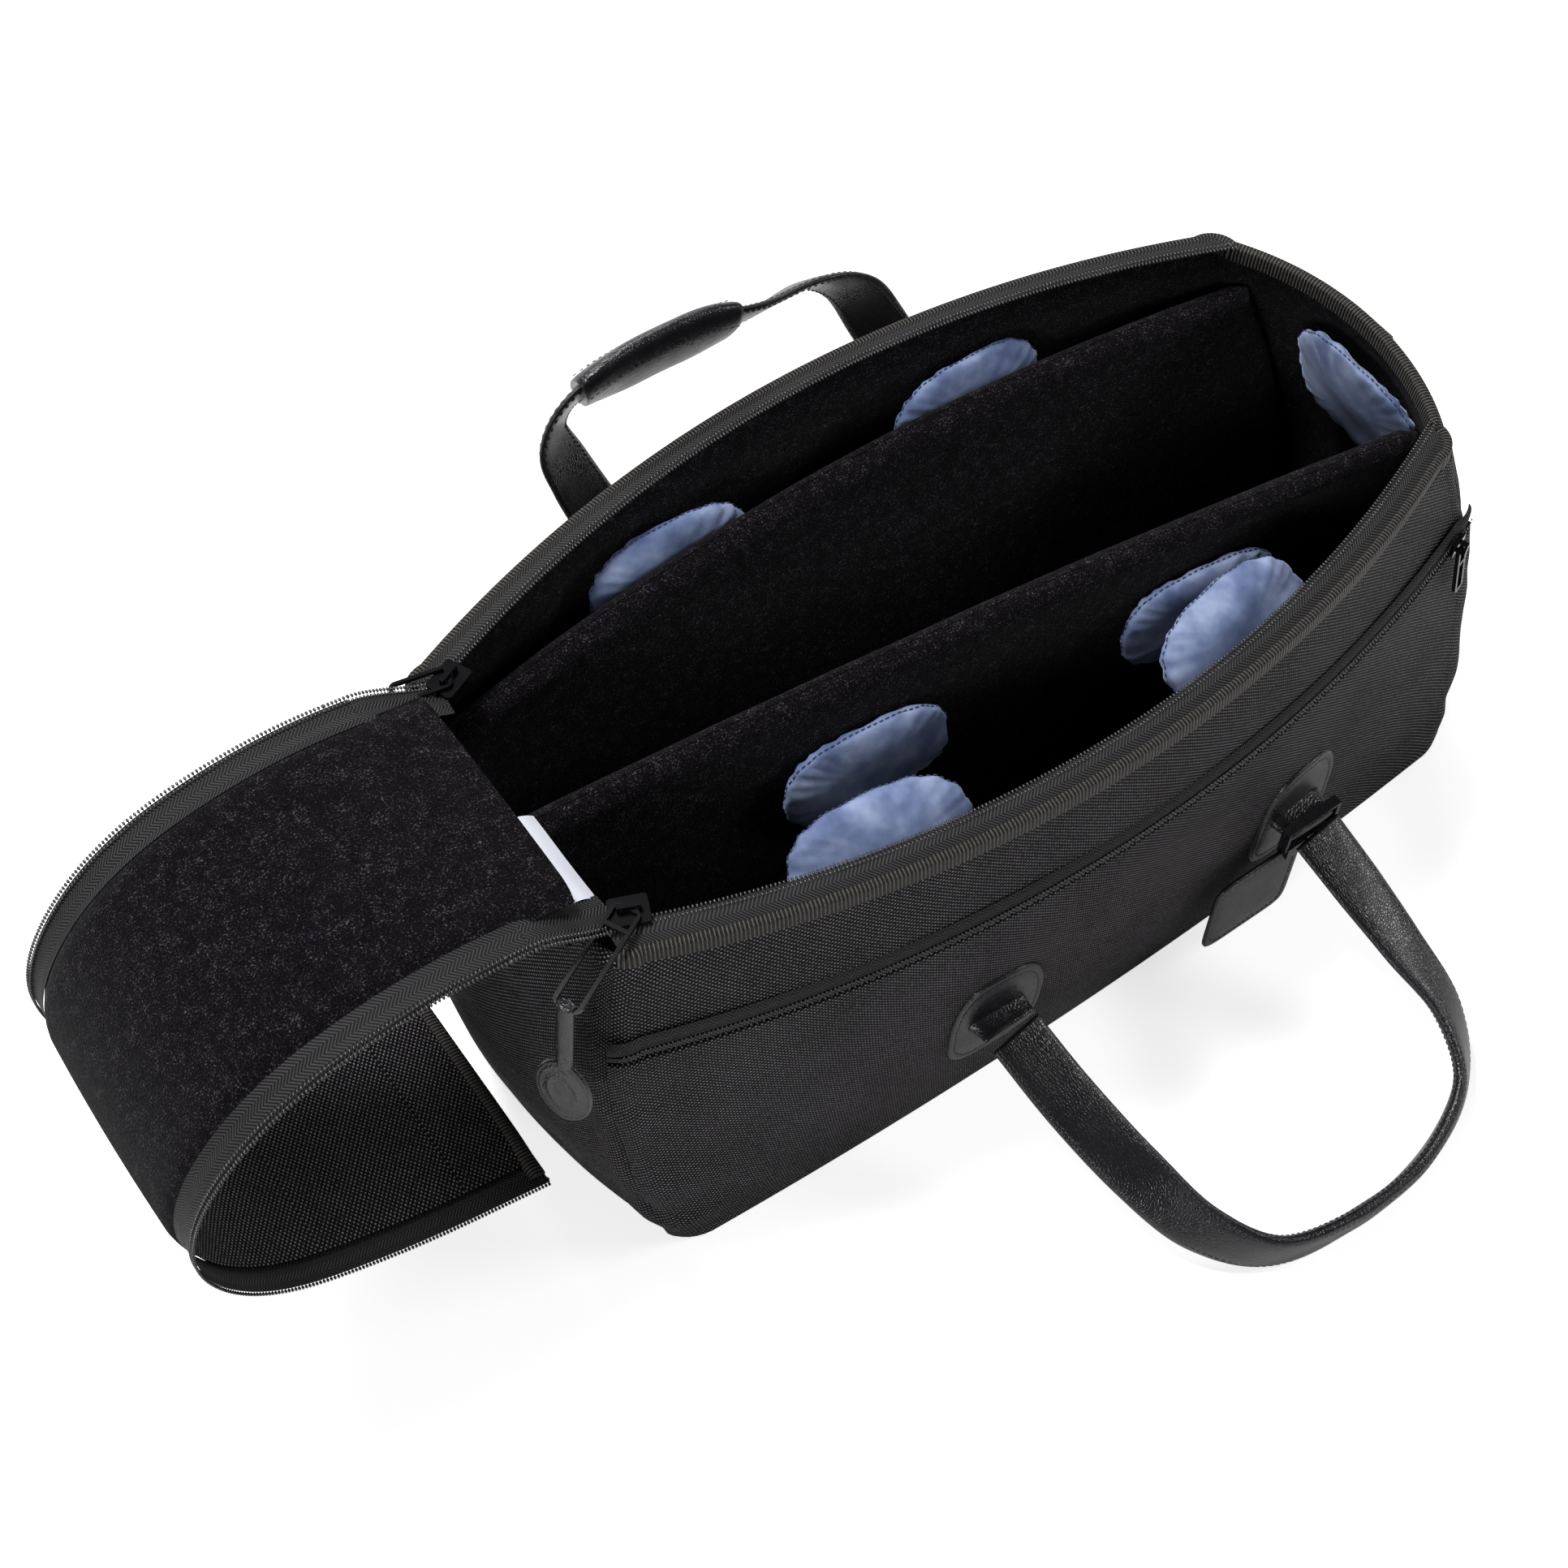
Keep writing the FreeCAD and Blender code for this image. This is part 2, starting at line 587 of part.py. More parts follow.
def round_upright_edges(body, feature, radius, wanted=lambda edge: True):
    names = []
    for number, edge in enumerate(feature.Shape.Edges, start=1):
        start, end = edge.Vertexes[0].Point, edge.Vertexes[-1].Point
        upright = abs(start.x - end.x) + abs(start.y - end.y) < 1e-6
        if upright and wanted(edge):
            names.append("Edge%d" % number)
    fillet = body.newObject("PartDesign::Fillet", body.Name + "_fillet")
    fillet.Base = (feature, names)
    fillet.setExpression("Radius", radius)
    doc.recompute()
    return fillet


# Lid: six padded panels in a row, hinged on their outer fabric, with a zip along both edges

lid_segments = 6
lid_directions = (168, 192, 233, 284, 329, 342)


def lid_step():
    return size.lid_length / lid_segments


def lid_pivots():
    """Hinge lines between the lid's panels, rolled back past the left end."""
    point = Vec(-size.rim_left, 0, size.lid_hinge_height)
    points = [point]
    for direction in lid_directions:
        angle = math.radians(direction)
        point = point + Vec(math.cos(angle), 0, math.sin(angle)) * lid_step()
        points.append(point)
    return points


def lid_placement(index, along):
    """Frame of one panel: X along it, Z through it to the plush side."""
    angle = math.radians(lid_directions[index])
    forward = Vec(math.cos(angle), 0, math.sin(angle))
    plush = Vec(math.sin(angle), 0, -math.cos(angle))
    turn = FreeCAD.Rotation(forward, Vec(0, -1, 0), plush, "XYZ")
    return FreeCAD.Placement(lid_pivots()[index] + forward * along, turn)


def make_lid():
    gap = size.lid_joint_gap
    for index in range(lid_segments):
        body = new_body("lid_panel_%d" % (index + 1))
        sketch = new_sketch(body, "XY_Plane")
        centred_rectangle(sketch, "size.lid_length / %d - 2 * size.lid_joint_gap" % lid_segments,
                          "2 * size.lid_half_width", (30, 50))
        pad = pad_sketch(body, sketch, "size.lid_thick")
        if index == lid_segments - 1:
            round_upright_edges(body, pad, "size.lid_corner",
                                lambda edge: edge.Vertexes[0].Point.x > 0)
        body.Placement = lid_placement(index, lid_step() / 2)
    for index in range(lid_segments):
        start = size.lid_notch if index == 0 else gap
        length = lid_step() - gap - start
        tape_width = size.lid_zip_half - size.lid_half_width
        strips = []
        for hand in (-1, 1):
            tape = Part.makeBox(length, tape_width - size.layer_gap, size.tape_thick)
            tape.translate(Vec(start, size.lid_half_width + size.layer_gap,
                               size.lid_thick / 2 - size.tape_thick / 2))
            coil = Part.makeBox(length, size.coil_size, size.coil_size)
            coil.translate(Vec(start, size.lid_zip_half - size.coil_size,
                               size.lid_thick / 2 - size.coil_size / 2))
            strip = tape.fuse(coil).removeSplitter()
            if hand < 0:
                strip = mirror_rear(strip)
            strips.append(strip)
        keep_shape("lid_zip_%d" % (index + 1), Part.makeCompound(strips),
                   lid_placement(index, 0))


def make_hinge_web():
    """Bound fabric strip on the left end's top that the lid folds back on."""
    web = doc.addObject("Part::Box", "lid_hinge_web")
    web.setExpression("Length", "size.hinge_web")
    web.setExpression("Width", "2 * size.hinge_web_half")
    web.setExpression("Height", "size.lid_hinge_height - size.rim_height - size.layer_gap * 8")
    web.Placement = FreeCAD.Placement(
        Vec(-size.rim_left - size.web_clearance - size.hinge_web, -size.hinge_web_half,
            size.rim_height + size.layer_gap), FreeCAD.Rotation())
    keep(web, "lid_hinge_web")


# Handles: a flat strap lofted along its route, turned on edge where it runs along the bag

front_route_shares = ((-0.5, 0), (-0.47, 0.25), (-0.42, 0.52), (-0.35, 0.76), (-0.21, 0.94),
                      (0.02, 1), (0.26, 0.985), (0.47, 0.87), (0.555, 0.66), (0.54, 0.42),
                      (0.52, 0.2), (0.5, 0))
front_twist_shares = (0, 0.03, 0.15, 0.42, 0.7, 0.8, 0.8, 0.66, 0.36, 0.12, 0.03, 0)
rear_route_shares = ((-0.5, 0), (-0.56, 0.26), (-0.63, 0.52), (-0.69, 0.75), (-0.715, 0.895),
                     (-0.64, 0.985), (-0.48, 1), (-0.28, 0.99), (-0.1, 0.96), (0.07, 0.955),
                     (0.19, 0.87), (0.265, 0.7), (0.35, 0.47), (0.43, 0.23), (0.5, 0))
rear_twist_shares = (0, 0.04, 0.13, 0.27, 0.42, 0.44, 0.3, 0.3, 0.5, 0.6, 0.45, 0.2, 0.08, 0.02, 0)
grip_station_shares = (-0.63, -0.17)


def obround_wire(centre, wide, thin, width, thick):
    half = wide * ((width - thick) / 2)
    out = wide * (width / 2)
    side = thin * (thick / 2)
    a, b = centre - half - side, centre + half - side
    c, d = centre + half + side, centre - half + side
    return Part.Wire([Part.makeLine(a, b), Part.Arc(b, centre + out, c).toShape(),
                      Part.makeLine(c, d), Part.Arc(d, centre - out, a).toShape()])


def strap_stations(route, twists, origin, reach_dir, reach):
    normal = Vec(1, 0, 0).cross(reach_dir)
    points = [origin + Vec(share_x * size.handle_spread, 0, 0) + reach_dir * (share_v * reach)
              for share_x, share_v in route]
    stations = []
    for index, point in enumerate(points):
        ahead = points[min(index + 1, len(points) - 1)]
        behind = points[max(index - 1, 0)]
        tangent = (ahead - behind).normalize()
        if index in (0, len(points) - 1):
            tangent = reach_dir * (1 if index == 0 else -1)
        across = normal.cross(tangent)
        angle = twists[index] * math.pi / 2
        wide = across * math.cos(angle) + normal * math.sin(angle)
        stations.append((point, wide, tangent.cross(wide)))
    return stations


def front_root():
    share = size.handle_root_height / size.rim_height
    skin = side_reach(share, size.handle_centre) + size.pocket_thick
    y = skin + size.patch_thick + size.tab_depth + size.strap_thick / 2 + size.root_clearance
    return Vec(size.handle_centre, -y, size.handle_root_height)


def rear_root():
    share = size.handle_root_height / size.rim_height
    skin = side_reach(share, size.handle_centre)
    y = skin + size.patch_thick + size.tab_depth + size.strap_thick / 2 + size.root_clearance
    return Vec(size.handle_centre, y, size.handle_root_height)


def front_reach_dir():
    run = math.sqrt(size.front_reach ** 2 - size.front_drop ** 2)
    return Vec(0, -run, -size.front_drop).normalize()


def rear_reach_dir():
    rise = math.sqrt(size.rear_reach ** 2 - size.rear_lean ** 2)
    return Vec(0, size.rear_lean, rise).normalize()


def make_handles():
    straps = {}
    routes = (("front_handle", front_route_shares, front_twist_shares, front_root(),
               front_reach_dir(), size.front_reach),
              ("rear_handle", rear_route_shares, rear_twist_shares, rear_root(),
               rear_reach_dir(), size.rear_reach))
    for label, route, twists, root, reach_dir, reach in routes:
        stations = strap_stations(route, twists, root, reach_dir, reach)
        wires = [obround_wire(point, wide, thin, size.strap_width, size.strap_thick)
                 for point, wide, thin in stations]
        strap = Part.makeLoft(wires, True, False)
        hems = [Part.makeCylinder(size.strap_thick / 2, size.strap_width,
                                  end[0] - Vec(size.strap_width / 2, 0, 0), Vec(1, 0, 0))
                for end in (stations[0], stations[-1])]
        keep_shape(label, Part.makeCompound([strap] + hems))
        straps[label] = strap
    make_grip(straps["rear_handle"])


def make_grip(strap):
    """Padded wrap round the top of the rear strap."""
    reach_dir = rear_reach_dir()
    normal = Vec(1, 0, 0).cross(reach_dir)
    angle = 0.3 * math.pi / 2
    wide = reach_dir * math.cos(angle) + normal * math.sin(angle)
    thin = Vec(1, 0, 0).cross(wide)
    wires = []
    for index, share in enumerate((0, 0.08, 0.92, 1)):
        along = between(grip_station_shares[0], grip_station_shares[1], share)
        centre = rear_root() + Vec(along * size.handle_spread, 0, 0) + reach_dir * size.rear_reach
        scale = 0.86 if index in (0, 3) else 1
        wires.append(obround_wire(centre, wide, thin, size.grip_width * scale,
                                  size.grip_thick * scale))
    grip = Part.makeLoft(wires, True, True)
    keep_shape("rear_handle_grip", grip.cut(strap))


def patch_solids(front):
    """Stitched leather patches that follow the wall, each with the tab its strap hangs on."""
    hand = -1 if front else 1
    side = "front" if front else "rear"
    under = size.pocket_thick + 2 * size.layer_gap if front else size.layer_gap
    share = size.handle_root_height / size.rim_height
    rise = size.patch_height / size.rim_height / 2 + 0.02
    layer = wall_panel(side, lambda level: -under - size.patch_thick, lambda level: -under,
                       levels_between(share - rise, share + rise))
    behind = wall_panel(side, lambda level: -under, lambda level: size.wall_thick,
                        levels_between(share - rise, share + rise))
    root = front_root() if front else rear_root()
    solids = []
    for offset in (-0.5, 0.5):
        x = size.handle_centre + offset * size.handle_spread
        body_depth = size.wall_thick * 4
        outline = Part.makeBox(size.patch_width, body_depth, size.patch_height)
        uprights = [edge for edge in outline.Edges
                    if abs(edge.tangentAt(edge.FirstParameter).y) > 0.5]
        outline = outline.makeFillet(size.patch_corner, uprights)
        reach = side_reach(share, x)
        outline.translate(Vec(x - size.patch_width / 2, hand * reach - body_depth / 2,
                              size.handle_root_height - size.patch_height / 2))
        patch = layer.common(outline)
        inner = reach + under + size.patch_thick / 2
        clearance = size.root_clearance if front else size.rear_root_clearance
        outer = abs(root.y) - size.strap_thick / 2 - clearance
        tab = Part.makeBox(size.strap_width, outer - inner, size.tab_height)
        tab.translate(Vec(x - size.strap_width / 2, inner if hand > 0 else -outer,
                          size.handle_root_height - size.tab_height / 2))
        tab = tab.cut(behind)
        solids.append(patch.fuse(tab).removeSplitter())
    return Part.makeCompound(solids)


def make_patches():
    keep_shape("front_handle_patches", patch_solids(True))
    keep_shape("rear_handle_patches", patch_solids(False))


# Luggage tag: a loop round the right root tab, a strap and a plate

def tag_ring():
    """Middle of the loop's foot, where the tag hangs, and the loop's inner sizes."""
    root = front_root()
    x = size.handle_centre + size.handle_spread / 2
    y = abs(root.y) - size.strap_thick / 2 - size.root_clearance - size.tag_ring_depth / 2
    low = size.handle_root_height - size.tab_height / 2 - size.tag_ring_clearance
    return Vec(x, -y, low - size.tag_ring_wall)


def tag_hang():
    """Middle of the strip of the tag, above its slot, that hangs in the loop's eye."""
    ring = tag_ring()
    eye = size.tag_land + 2 * size.tag_eye_clearance
    drop = size.tag_strap_thick + eye / 2
    x = ring.x - size.strap_width / 2 - size.tag_ring_clearance + size.tag_strap_width / 2
    return Vec(x, ring.y, ring.z - drop), eye


def make_tag_loop():
    """Strap wrapped round the root tab, with an eye below that carries the tag."""
    ring = tag_ring()
    inner_w = size.strap_width + 2 * size.tag_ring_clearance
    inner_h = size.tab_height + 2 * size.tag_ring_clearance
    wall, depth = size.tag_ring_wall, size.tag_ring_depth
    band = Part.makeBox(inner_w + 2 * wall, depth, inner_h + 2 * wall,
                        Vec(ring.x - inner_w / 2 - wall, ring.y - depth / 2, ring.z))
    hole = Part.makeBox(inner_w, depth * 3, inner_h,
                        Vec(ring.x - inner_w / 2, ring.y - depth * 1.5, ring.z + wall))
    hang, eye = tag_hang()
    thick, wide = size.tag_strap_thick, size.tag_strap_width
    outer = eye + 2 * thick
    carrier = Part.makeBox(wide, outer, outer + wall,
                           hang - Vec(wide / 2, outer / 2, outer / 2))
    opening = Part.makeBox(wide * 2, eye, eye, hang - Vec(wide, eye / 2, eye / 2))
    loop = band.fuse(carrier).cut(hole).cut(opening).removeSplitter()
    keep_shape("tag_loop", loop)


def make_tag():
    hang, eye = tag_hang()
    thick, land = size.tag_thick, size.tag_land
    top = hang.z + land / 2
    left = hang.x - size.tag_offset - size.tag_width / 2
    plate = Part.makeBox(size.tag_width, thick, size.tag_height,
                         Vec(left, hang.y - thick / 2, top - size.tag_height))
    uprights = [edge for edge in plate.Edges
                if abs(edge.tangentAt(edge.FirstParameter).y) > 0.5]
    plate = plate.makeFillet(size.tag_corner, uprights)
    slot = Part.makeBox(size.tag_slot_width, thick * 3, size.tag_slot_height,
                        Vec(hang.x - size.tag_slot_width / 2, hang.y - thick * 1.5,
                            top - land - size.tag_slot_height))
    keep_shape("luggage_tag", plate.cut(slot))


# Zip sliders: two plates joined by a post, with side rims that keep the teeth in

def slider_solid(coil, crown):
    """Local frame: X along the zip, Y towards the opening, Z up, the held row of teeth at Y 0."""
    wall, clear = size.slider_wall, size.slider_clearance
    cavity = coil + 2 * clear
    half_width = cavity + wall + size.slider_post / 2
    length = size.slider_length
    height = cavity + 2 * wall
    block = Part.makeBox(length, 2 * half_width, height)
    uprights = [edge for edge in block.Edges if abs(edge.tangentAt(edge.FirstParameter).z) > 0.5]
    block = block.makeFillet(wall, uprights)
    block.translate(Vec(-length / 2, -half_width, -height / 2))
    channel = Part.makeBox(length * 2, 2 * (half_width - wall), cavity)
    channel.translate(Vec(-length, -half_width + wall, -cavity / 2))
    slot = Part.makeBox(length * 2, 4 * half_width, size.slot_height)
    slot.translate(Vec(-length, -2 * half_width, -size.slot_height / 2))
    block = block.cut(channel).cut(slot)
    post = Part.makeCylinder(size.slider_post / 2, height - wall, Vec(0, 0, -height / 2 + wall / 2))
    wedge = post.copy()
    wedge.translate(Vec(length / 4, 0, 0))
    block = block.fuse([post, wedge])
    if crown:
        leg = size.crown_thick
        arch = Part.makeBox(size.crown_length, size.crown_width, size.crown_height + wall / 4)
        gap = Part.makeBox(size.crown_length - 2 * leg, size.crown_width * 2,
                           size.crown_height - leg)
        arch.translate(Vec(-size.crown_length / 2, -size.crown_width / 2, height / 2 - wall / 4))
        gap.translate(Vec(leg - size.crown_length / 2, -size.crown_width, height / 2))
        block = block.fuse(arch.cut(gap))
    block = block.removeSplitter()
    block.translate(Vec(0, cavity / 2 + size.slider_post / 2, 0))
    return block


def slider_top(coil):
    return coil / 2 + size.slider_clearance + size.slider_wall


def rim_slider_frame():
    """Where the front slider stands: the middle of the row of teeth, and the turn there."""
    radius, offset = teeth_arc()
    angle = teeth_angle(-size.slider_start)
    reach = radius - size.coil_size / 2
    place = Vec(teeth_middle() + reach * math.sin(angle), offset - reach * math.cos(angle),
                tape_height())
    return place, math.degrees(angle)


def crown_centre(coil):
    cavity = coil + 2 * size.slider_clearance
    return Vec(0, cavity / 2 + size.slider_post / 2,
               slider_top(coil) + (size.crown_height - size.crown_thick) / 2)


def rim_crown():
    place, turn = rim_slider_frame()
    return place + FreeCAD.Rotation(Vec(0, 0, 1), turn).multVec(crown_centre(size.coil_size))


def make_rim_sliders():
    place, turn = rim_slider_frame()
    slider = slider_solid(size.coil_size, True)
    slider.rotate(Vec(0, 0, 0), Vec(0, 0, 1), turn)
    slider.translate(place)
    keep_shape("front_zip_slider", slider)
    keep_shape("rear_zip_slider", mirror_rear(slider))


def add_slot(body, name, length, width, offset="0"):
    """Lengthwise opening through a flat pull, its middle a distance along from the centre."""
    slot = body.newObject("PartDesign::SubtractiveBox", body.Name + name)
    slot.setExpression("Length", length)
    slot.setExpression("Width", width)
    slot.setExpression("Height", "2 * size.pull_thick")
    slot.setExpression("Placement.Base.x", "%s - (%s) / 2" % (offset, length))
    slot.setExpression("Placement.Base.y", "-(%s) / 2" % width)
    slot.setExpression("Placement.Base.z", "-size.pull_thick")
    doc.recompute()


def pull_body(label, length, width, slot_width, head=None):
    """Flat pull whose end bar goes through a crown; a crossbar may close off its head."""
    body = new_body(label)
    sketch = new_sketch(body, "XY_Plane")
    centred_rectangle(sketch, length, width, (12, 3))
    pad = pad_sketch(body, sketch, "size.pull_thick", True)
    round_upright_edges(body, pad, "%s * 0.3" % width)
    opening = "(%s - 2 * size.pull_thick)" % length
    if head:
        add_slot(body, "_eye", head, slot_width, "-%s / 2 + %s / 2" % (opening, head))
        rest = "(%s - %s - size.pull_thick)" % (opening, head)
        add_slot(body, "_slot", rest, slot_width, "%s / 2 - %s / 2" % (opening, rest))
    else:
        add_slot(body, "_slot", opening, slot_width)
    return body


front_pull_direction = (-48, -24, -1.2)
rear_pull_direction = (-24, 6, -1)
fob_direction = (-10, -5, -66)


def direction_frame(direction):
    """Turn that lays X along a direction and keeps Y level."""
    along = Vec(*direction).normalize()
    flat = Vec(0, 0, 1).cross(along).normalize()
    return along, FreeCAD.Rotation(along, flat, along.cross(flat), "XYZ")


def eye_to_eye():
    return size.pull_length - size.pull_thick


def make_pulls():
    front = pull_body("front_zip_pull", "size.pull_length", "size.pull_width",
                      "size.pull_slot", "size.pull_head")
    along, turn = direction_frame(front_pull_direction)
    front.Placement = FreeCAD.Placement(rim_crown() + along * (eye_to_eye() / 2), turn)
    rear = pull_body("rear_zip_pull", "size.short_pull_length", "size.short_pull_width",
                     "size.short_pull_slot")
    along, turn = direction_frame(rear_pull_direction)
    eye = (size.short_pull_length - size.pull_thick) / 2
    rear.Placement = FreeCAD.Placement(mirrored(rim_crown()) + along * eye, turn)


def mirrored(point):
    return Vec(point.x, -point.y, point.z)


def make_fob():
    """Leather strap looped through the pull's lower bar, ending in an oval fob."""
    bar = rim_crown() + direction_frame(front_pull_direction)[0] * eye_to_eye()
    body = new_body("pull_fob")
    reach = size.fob_reach
    sketch = new_sketch(body, "XY_Plane")
    centred_rectangle(sketch, "size.fob_length", "size.fob_width", (20, 12))
    pad = pad_sketch(body, sketch, "size.fob_thick", True)
    fillet = round_upright_edges(body, pad, "size.fob_width * 0.45")
    strap = body.newObject("PartDesign::AdditiveBox", "pull_fob_strap")
    strap.setExpression("Length", "size.fob_reach - size.fob_length / 4")
    strap.setExpression("Width", "size.fob_strap_width")
    strap.setExpression("Height", "size.fob_strap_thick")
    strap.setExpression("Placement.Base.x", "-size.fob_reach - size.loop_length / 2")
    strap.setExpression("Placement.Base.y", "-size.fob_strap_width / 2")
    strap.setExpression("Placement.Base.z", "-size.fob_strap_thick / 2")
    eye = body.newObject("PartDesign::SubtractiveBox", "pull_fob_eye")
    eye.setExpression("Length", "size.loop_length")
    eye.setExpression("Width", "2 * size.fob_strap_width")
    eye.setExpression("Height", "size.loop_gap")
    eye.setExpression("Placement.Base.x", "-size.fob_reach - size.loop_length / 2 + "
                                          "(size.fob_strap_thick - size.loop_gap) / 2")
    eye.setExpression("Placement.Base.y", "-size.fob_strap_width")
    eye.setExpression("Placement.Base.z", "-size.loop_gap / 2")
    doc.recompute()
    along, turn = direction_frame(fob_direction)
    eye = reach - (size.fob_strap_thick - size.loop_gap) / 2
    body.Placement = FreeCAD.Placement(bar + along * eye, turn)


# Pocket slider: a flat back plate behind the tape, joined by a post to a front plate and crown

def pocket_arc(under):
    """Radius and centre of the pocket zip's arc in plan, and its height."""
    height = size.pocket_top + pocket_middle()
    plan = plan_at(height / size.rim_height)
    half_chord = (plan.right + plan.left) / 2 - plan.corner
    bow = plan.side_bow
    radius = (half_chord ** 2 + bow ** 2) / (2 * bow)
    middle = -(plan.half + under + bow)
    return radius, Vec((plan.right - plan.left) / 2, middle + radius, height), half_chord


def pocket_slider_frame():
    radius, centre, half_chord = pocket_arc(0)
    along = half_chord - size.pocket_slider_length / 2
    angle = math.asin(along / radius)
    place = centre + Vec(math.sin(angle), -math.cos(angle), 0) * radius
    outward = Vec(math.sin(angle), -math.cos(angle), 0)
    forward = Vec(math.cos(angle), math.sin(angle), 0)
    return place, FreeCAD.Rotation(forward, Vec(0, 0, 1), outward, "XYZ")


def pocket_slider_depths():
    """Front faces of the back plate and both faces of the front plate, out from the fabric."""
    row_out = 2 * size.layer_gap + size.pocket_thick + size.pocket_row
    back = size.pocket_plate_lift + size.pocket_plate
    front = row_out + size.pocket_slider_lift
    return back, front, front + size.pocket_plate


def pocket_crown_offset():
    depths = pocket_slider_depths()
    return depths[2] + (size.crown_height - size.crown_thick) / 2


def make_pocket_slider():
    length, tall, plate = size.pocket_slider_length, size.pocket_slider_height, size.pocket_plate
    back, front, outside = pocket_slider_depths()
    tape_out = size.layer_gap + size.pocket_thick
    solids = []
    for low in (back - plate, front):
        box = Part.makeBox(length, tall, plate)
        uprights = [e for e in box.Edges if abs(e.tangentAt(e.FirstParameter).z) > 0.5]
        box = box.makeFillet(plate, uprights)
        box.translate(Vec(-length / 2, -tall / 2, low))
        solids.append(box)
    solids.append(Part.makeCylinder(size.pocket_post / 2, outside - back + plate / 2,
                                    Vec(length / 4, 0, back - plate / 2)))
    flange_low = tape_out + size.pocket_slider_lift
    for hand in (-1, 1):
        flange = Part.makeBox(length - 2 * plate, plate, outside - flange_low - plate / 2)
        flange.translate(Vec(-length / 2 + plate, hand * (tall - plate) / 2 - plate / 2,
                             flange_low))
        solids.append(flange)
    leg = size.crown_thick
    arch = Part.makeBox(size.crown_width, tall, size.crown_height + plate / 4,
                        Vec(-size.crown_width / 2, -tall / 2, outside - plate / 4))
    gap = Part.makeBox(size.crown_width * 2, tall - 2 * leg, size.crown_height - leg,
                       Vec(-size.crown_width, -tall / 2 + leg, outside))
    solids.append(arch.cut(gap))
    slider = solids[0].fuse(solids[1:]).removeSplitter()
    place, turn = pocket_slider_frame()
    keep_shape("pocket_slider", slider, FreeCAD.Placement(place, turn))


def make_pocket_pull():
    """Metal tab with a hole in its end, hanging from the pocket slider's crown."""
    body = pull_body("pocket_pull", "size.tab_pull_length", "size.tab_pull_width",
                     "size.tab_pull_slot", "size.tab_pull_hole")
    place, turn = pocket_slider_frame()
    outward = turn.multVec(Vec(0, 0, 1))
    forward = turn.multVec(Vec(1, 0, 0))
    crown = place + outward * pocket_crown_offset()
    eye = (size.tab_pull_length - size.pull_thick) / 2
    share = crown.z / size.rim_height
    low = (crown.z - size.tab_pull_length) / size.rim_height
    spread = side_reach(low, place.x) - side_reach(share, place.x)
    down = (outward * (spread / size.tab_pull_length) - Vec(0, 0, 1)).normalize()
    body.Placement = FreeCAD.Placement(
        crown + down * eye, FreeCAD.Rotation(down, forward, down.cross(forward), "XYZ"))


# Rings for a carrying strap, one on each end, and the sewn label at the hinge

def ring_placement(left):
    """Frame of a ring's straight bar: X out from the wall, Z up along its slope."""
    reach, lean = end_slope(size.ring_height, left)
    stand = size.ring_tab_wall + size.ring_clearance + size.ring_wire / 2 + 5 * size.layer_gap
    turn = FreeCAD.Rotation(Vec(0, 1, 0), -lean)
    place = turn.multVec(Vec(stand, 0, 0)) + Vec(reach, 0, size.ring_height)
    if left:
        place = Vec(-place.x, 0, place.z)
        turn = FreeCAD.Rotation(Vec(0, 1, 0), lean).multiply(FreeCAD.Rotation(Vec(0, 0, 1), 180))
    return FreeCAD.Placement(place, turn)


def make_rings():
    inner, wire = size.ring_inner, size.ring_wire
    major = inner / 2 + wire / 2
    for label, left in (("left_strap_ring", True), ("right_strap_ring", False)):
        bow = Part.makeTorus(major, wire / 2, Vec(0, 0, 0), Vec(1, 0, 0))
        lower = Part.makeBox(wire * 2, 4 * major, 2 * major, Vec(-wire, -2 * major, -2 * major))
        bar = Part.makeCylinder(wire / 2, 2 * major, Vec(0, -major, 0), Vec(0, 1, 0))
        ends = [Part.makeSphere(wire / 2, Vec(0, hand * major, 0)) for hand in (-1, 1)]
        keep_shape(label, bow.common(lower).fuse([bar] + ends), ring_placement(left))


def make_ring_tabs():
    """Webbing loops sewn to the end walls, wrapped round the straight bar of each ring."""
    hole = size.ring_wire / 2 + size.ring_clearance
    outer = hole + size.ring_tab_wall
    width = size.ring_tab_width
    tabs = []
    for left in (True, False):
        loop = Part.makeCylinder(outer, width, Vec(0, -width / 2, 0), Vec(0, 1, 0))
        tail = Part.makeBox(size.ring_tab_wall, width, size.ring_tab_length,
                            Vec(-outer, -width / 2, 0))
        bore = Part.makeCylinder(hole, width * 2, Vec(0, -width, 0), Vec(0, 1, 0))
        tab = loop.fuse(tail).cut(bore)
        tab.Placement = ring_placement(left)
        tabs.append(tab)
    keep_shape("strap_ring_tabs", Part.makeCompound(tabs))


def make_label():
    label = doc.addObject("Part::Box", "care_label")
    label.setExpression("Length", "size.label_length")
    label.setExpression("Width", "size.label_width")
    label.setExpression("Height", "size.label_thick")
    label.Placement = FreeCAD.Placement(
        Vec(3 * size.layer_gap - size.rim_left - size.web_clearance,
            -size.label_place - size.label_width / 2, size.rim_height + size.label_rise),
        FreeCAD.Rotation(Vec(0, 1, 0), size.label_turn))
    keep(label, "care_label")


for step in (make_shell, make_rim, make_pocket, make_dividers, make_pads, make_lid,
             make_hinge_web, make_handles, make_patches, make_tag_loop, make_tag,
             make_rim_sliders, make_pulls, make_fob, make_pocket_slider, make_pocket_pull,
             make_rings, make_ring_tabs, make_label):
    step()
    print(step.__name__, len(results))

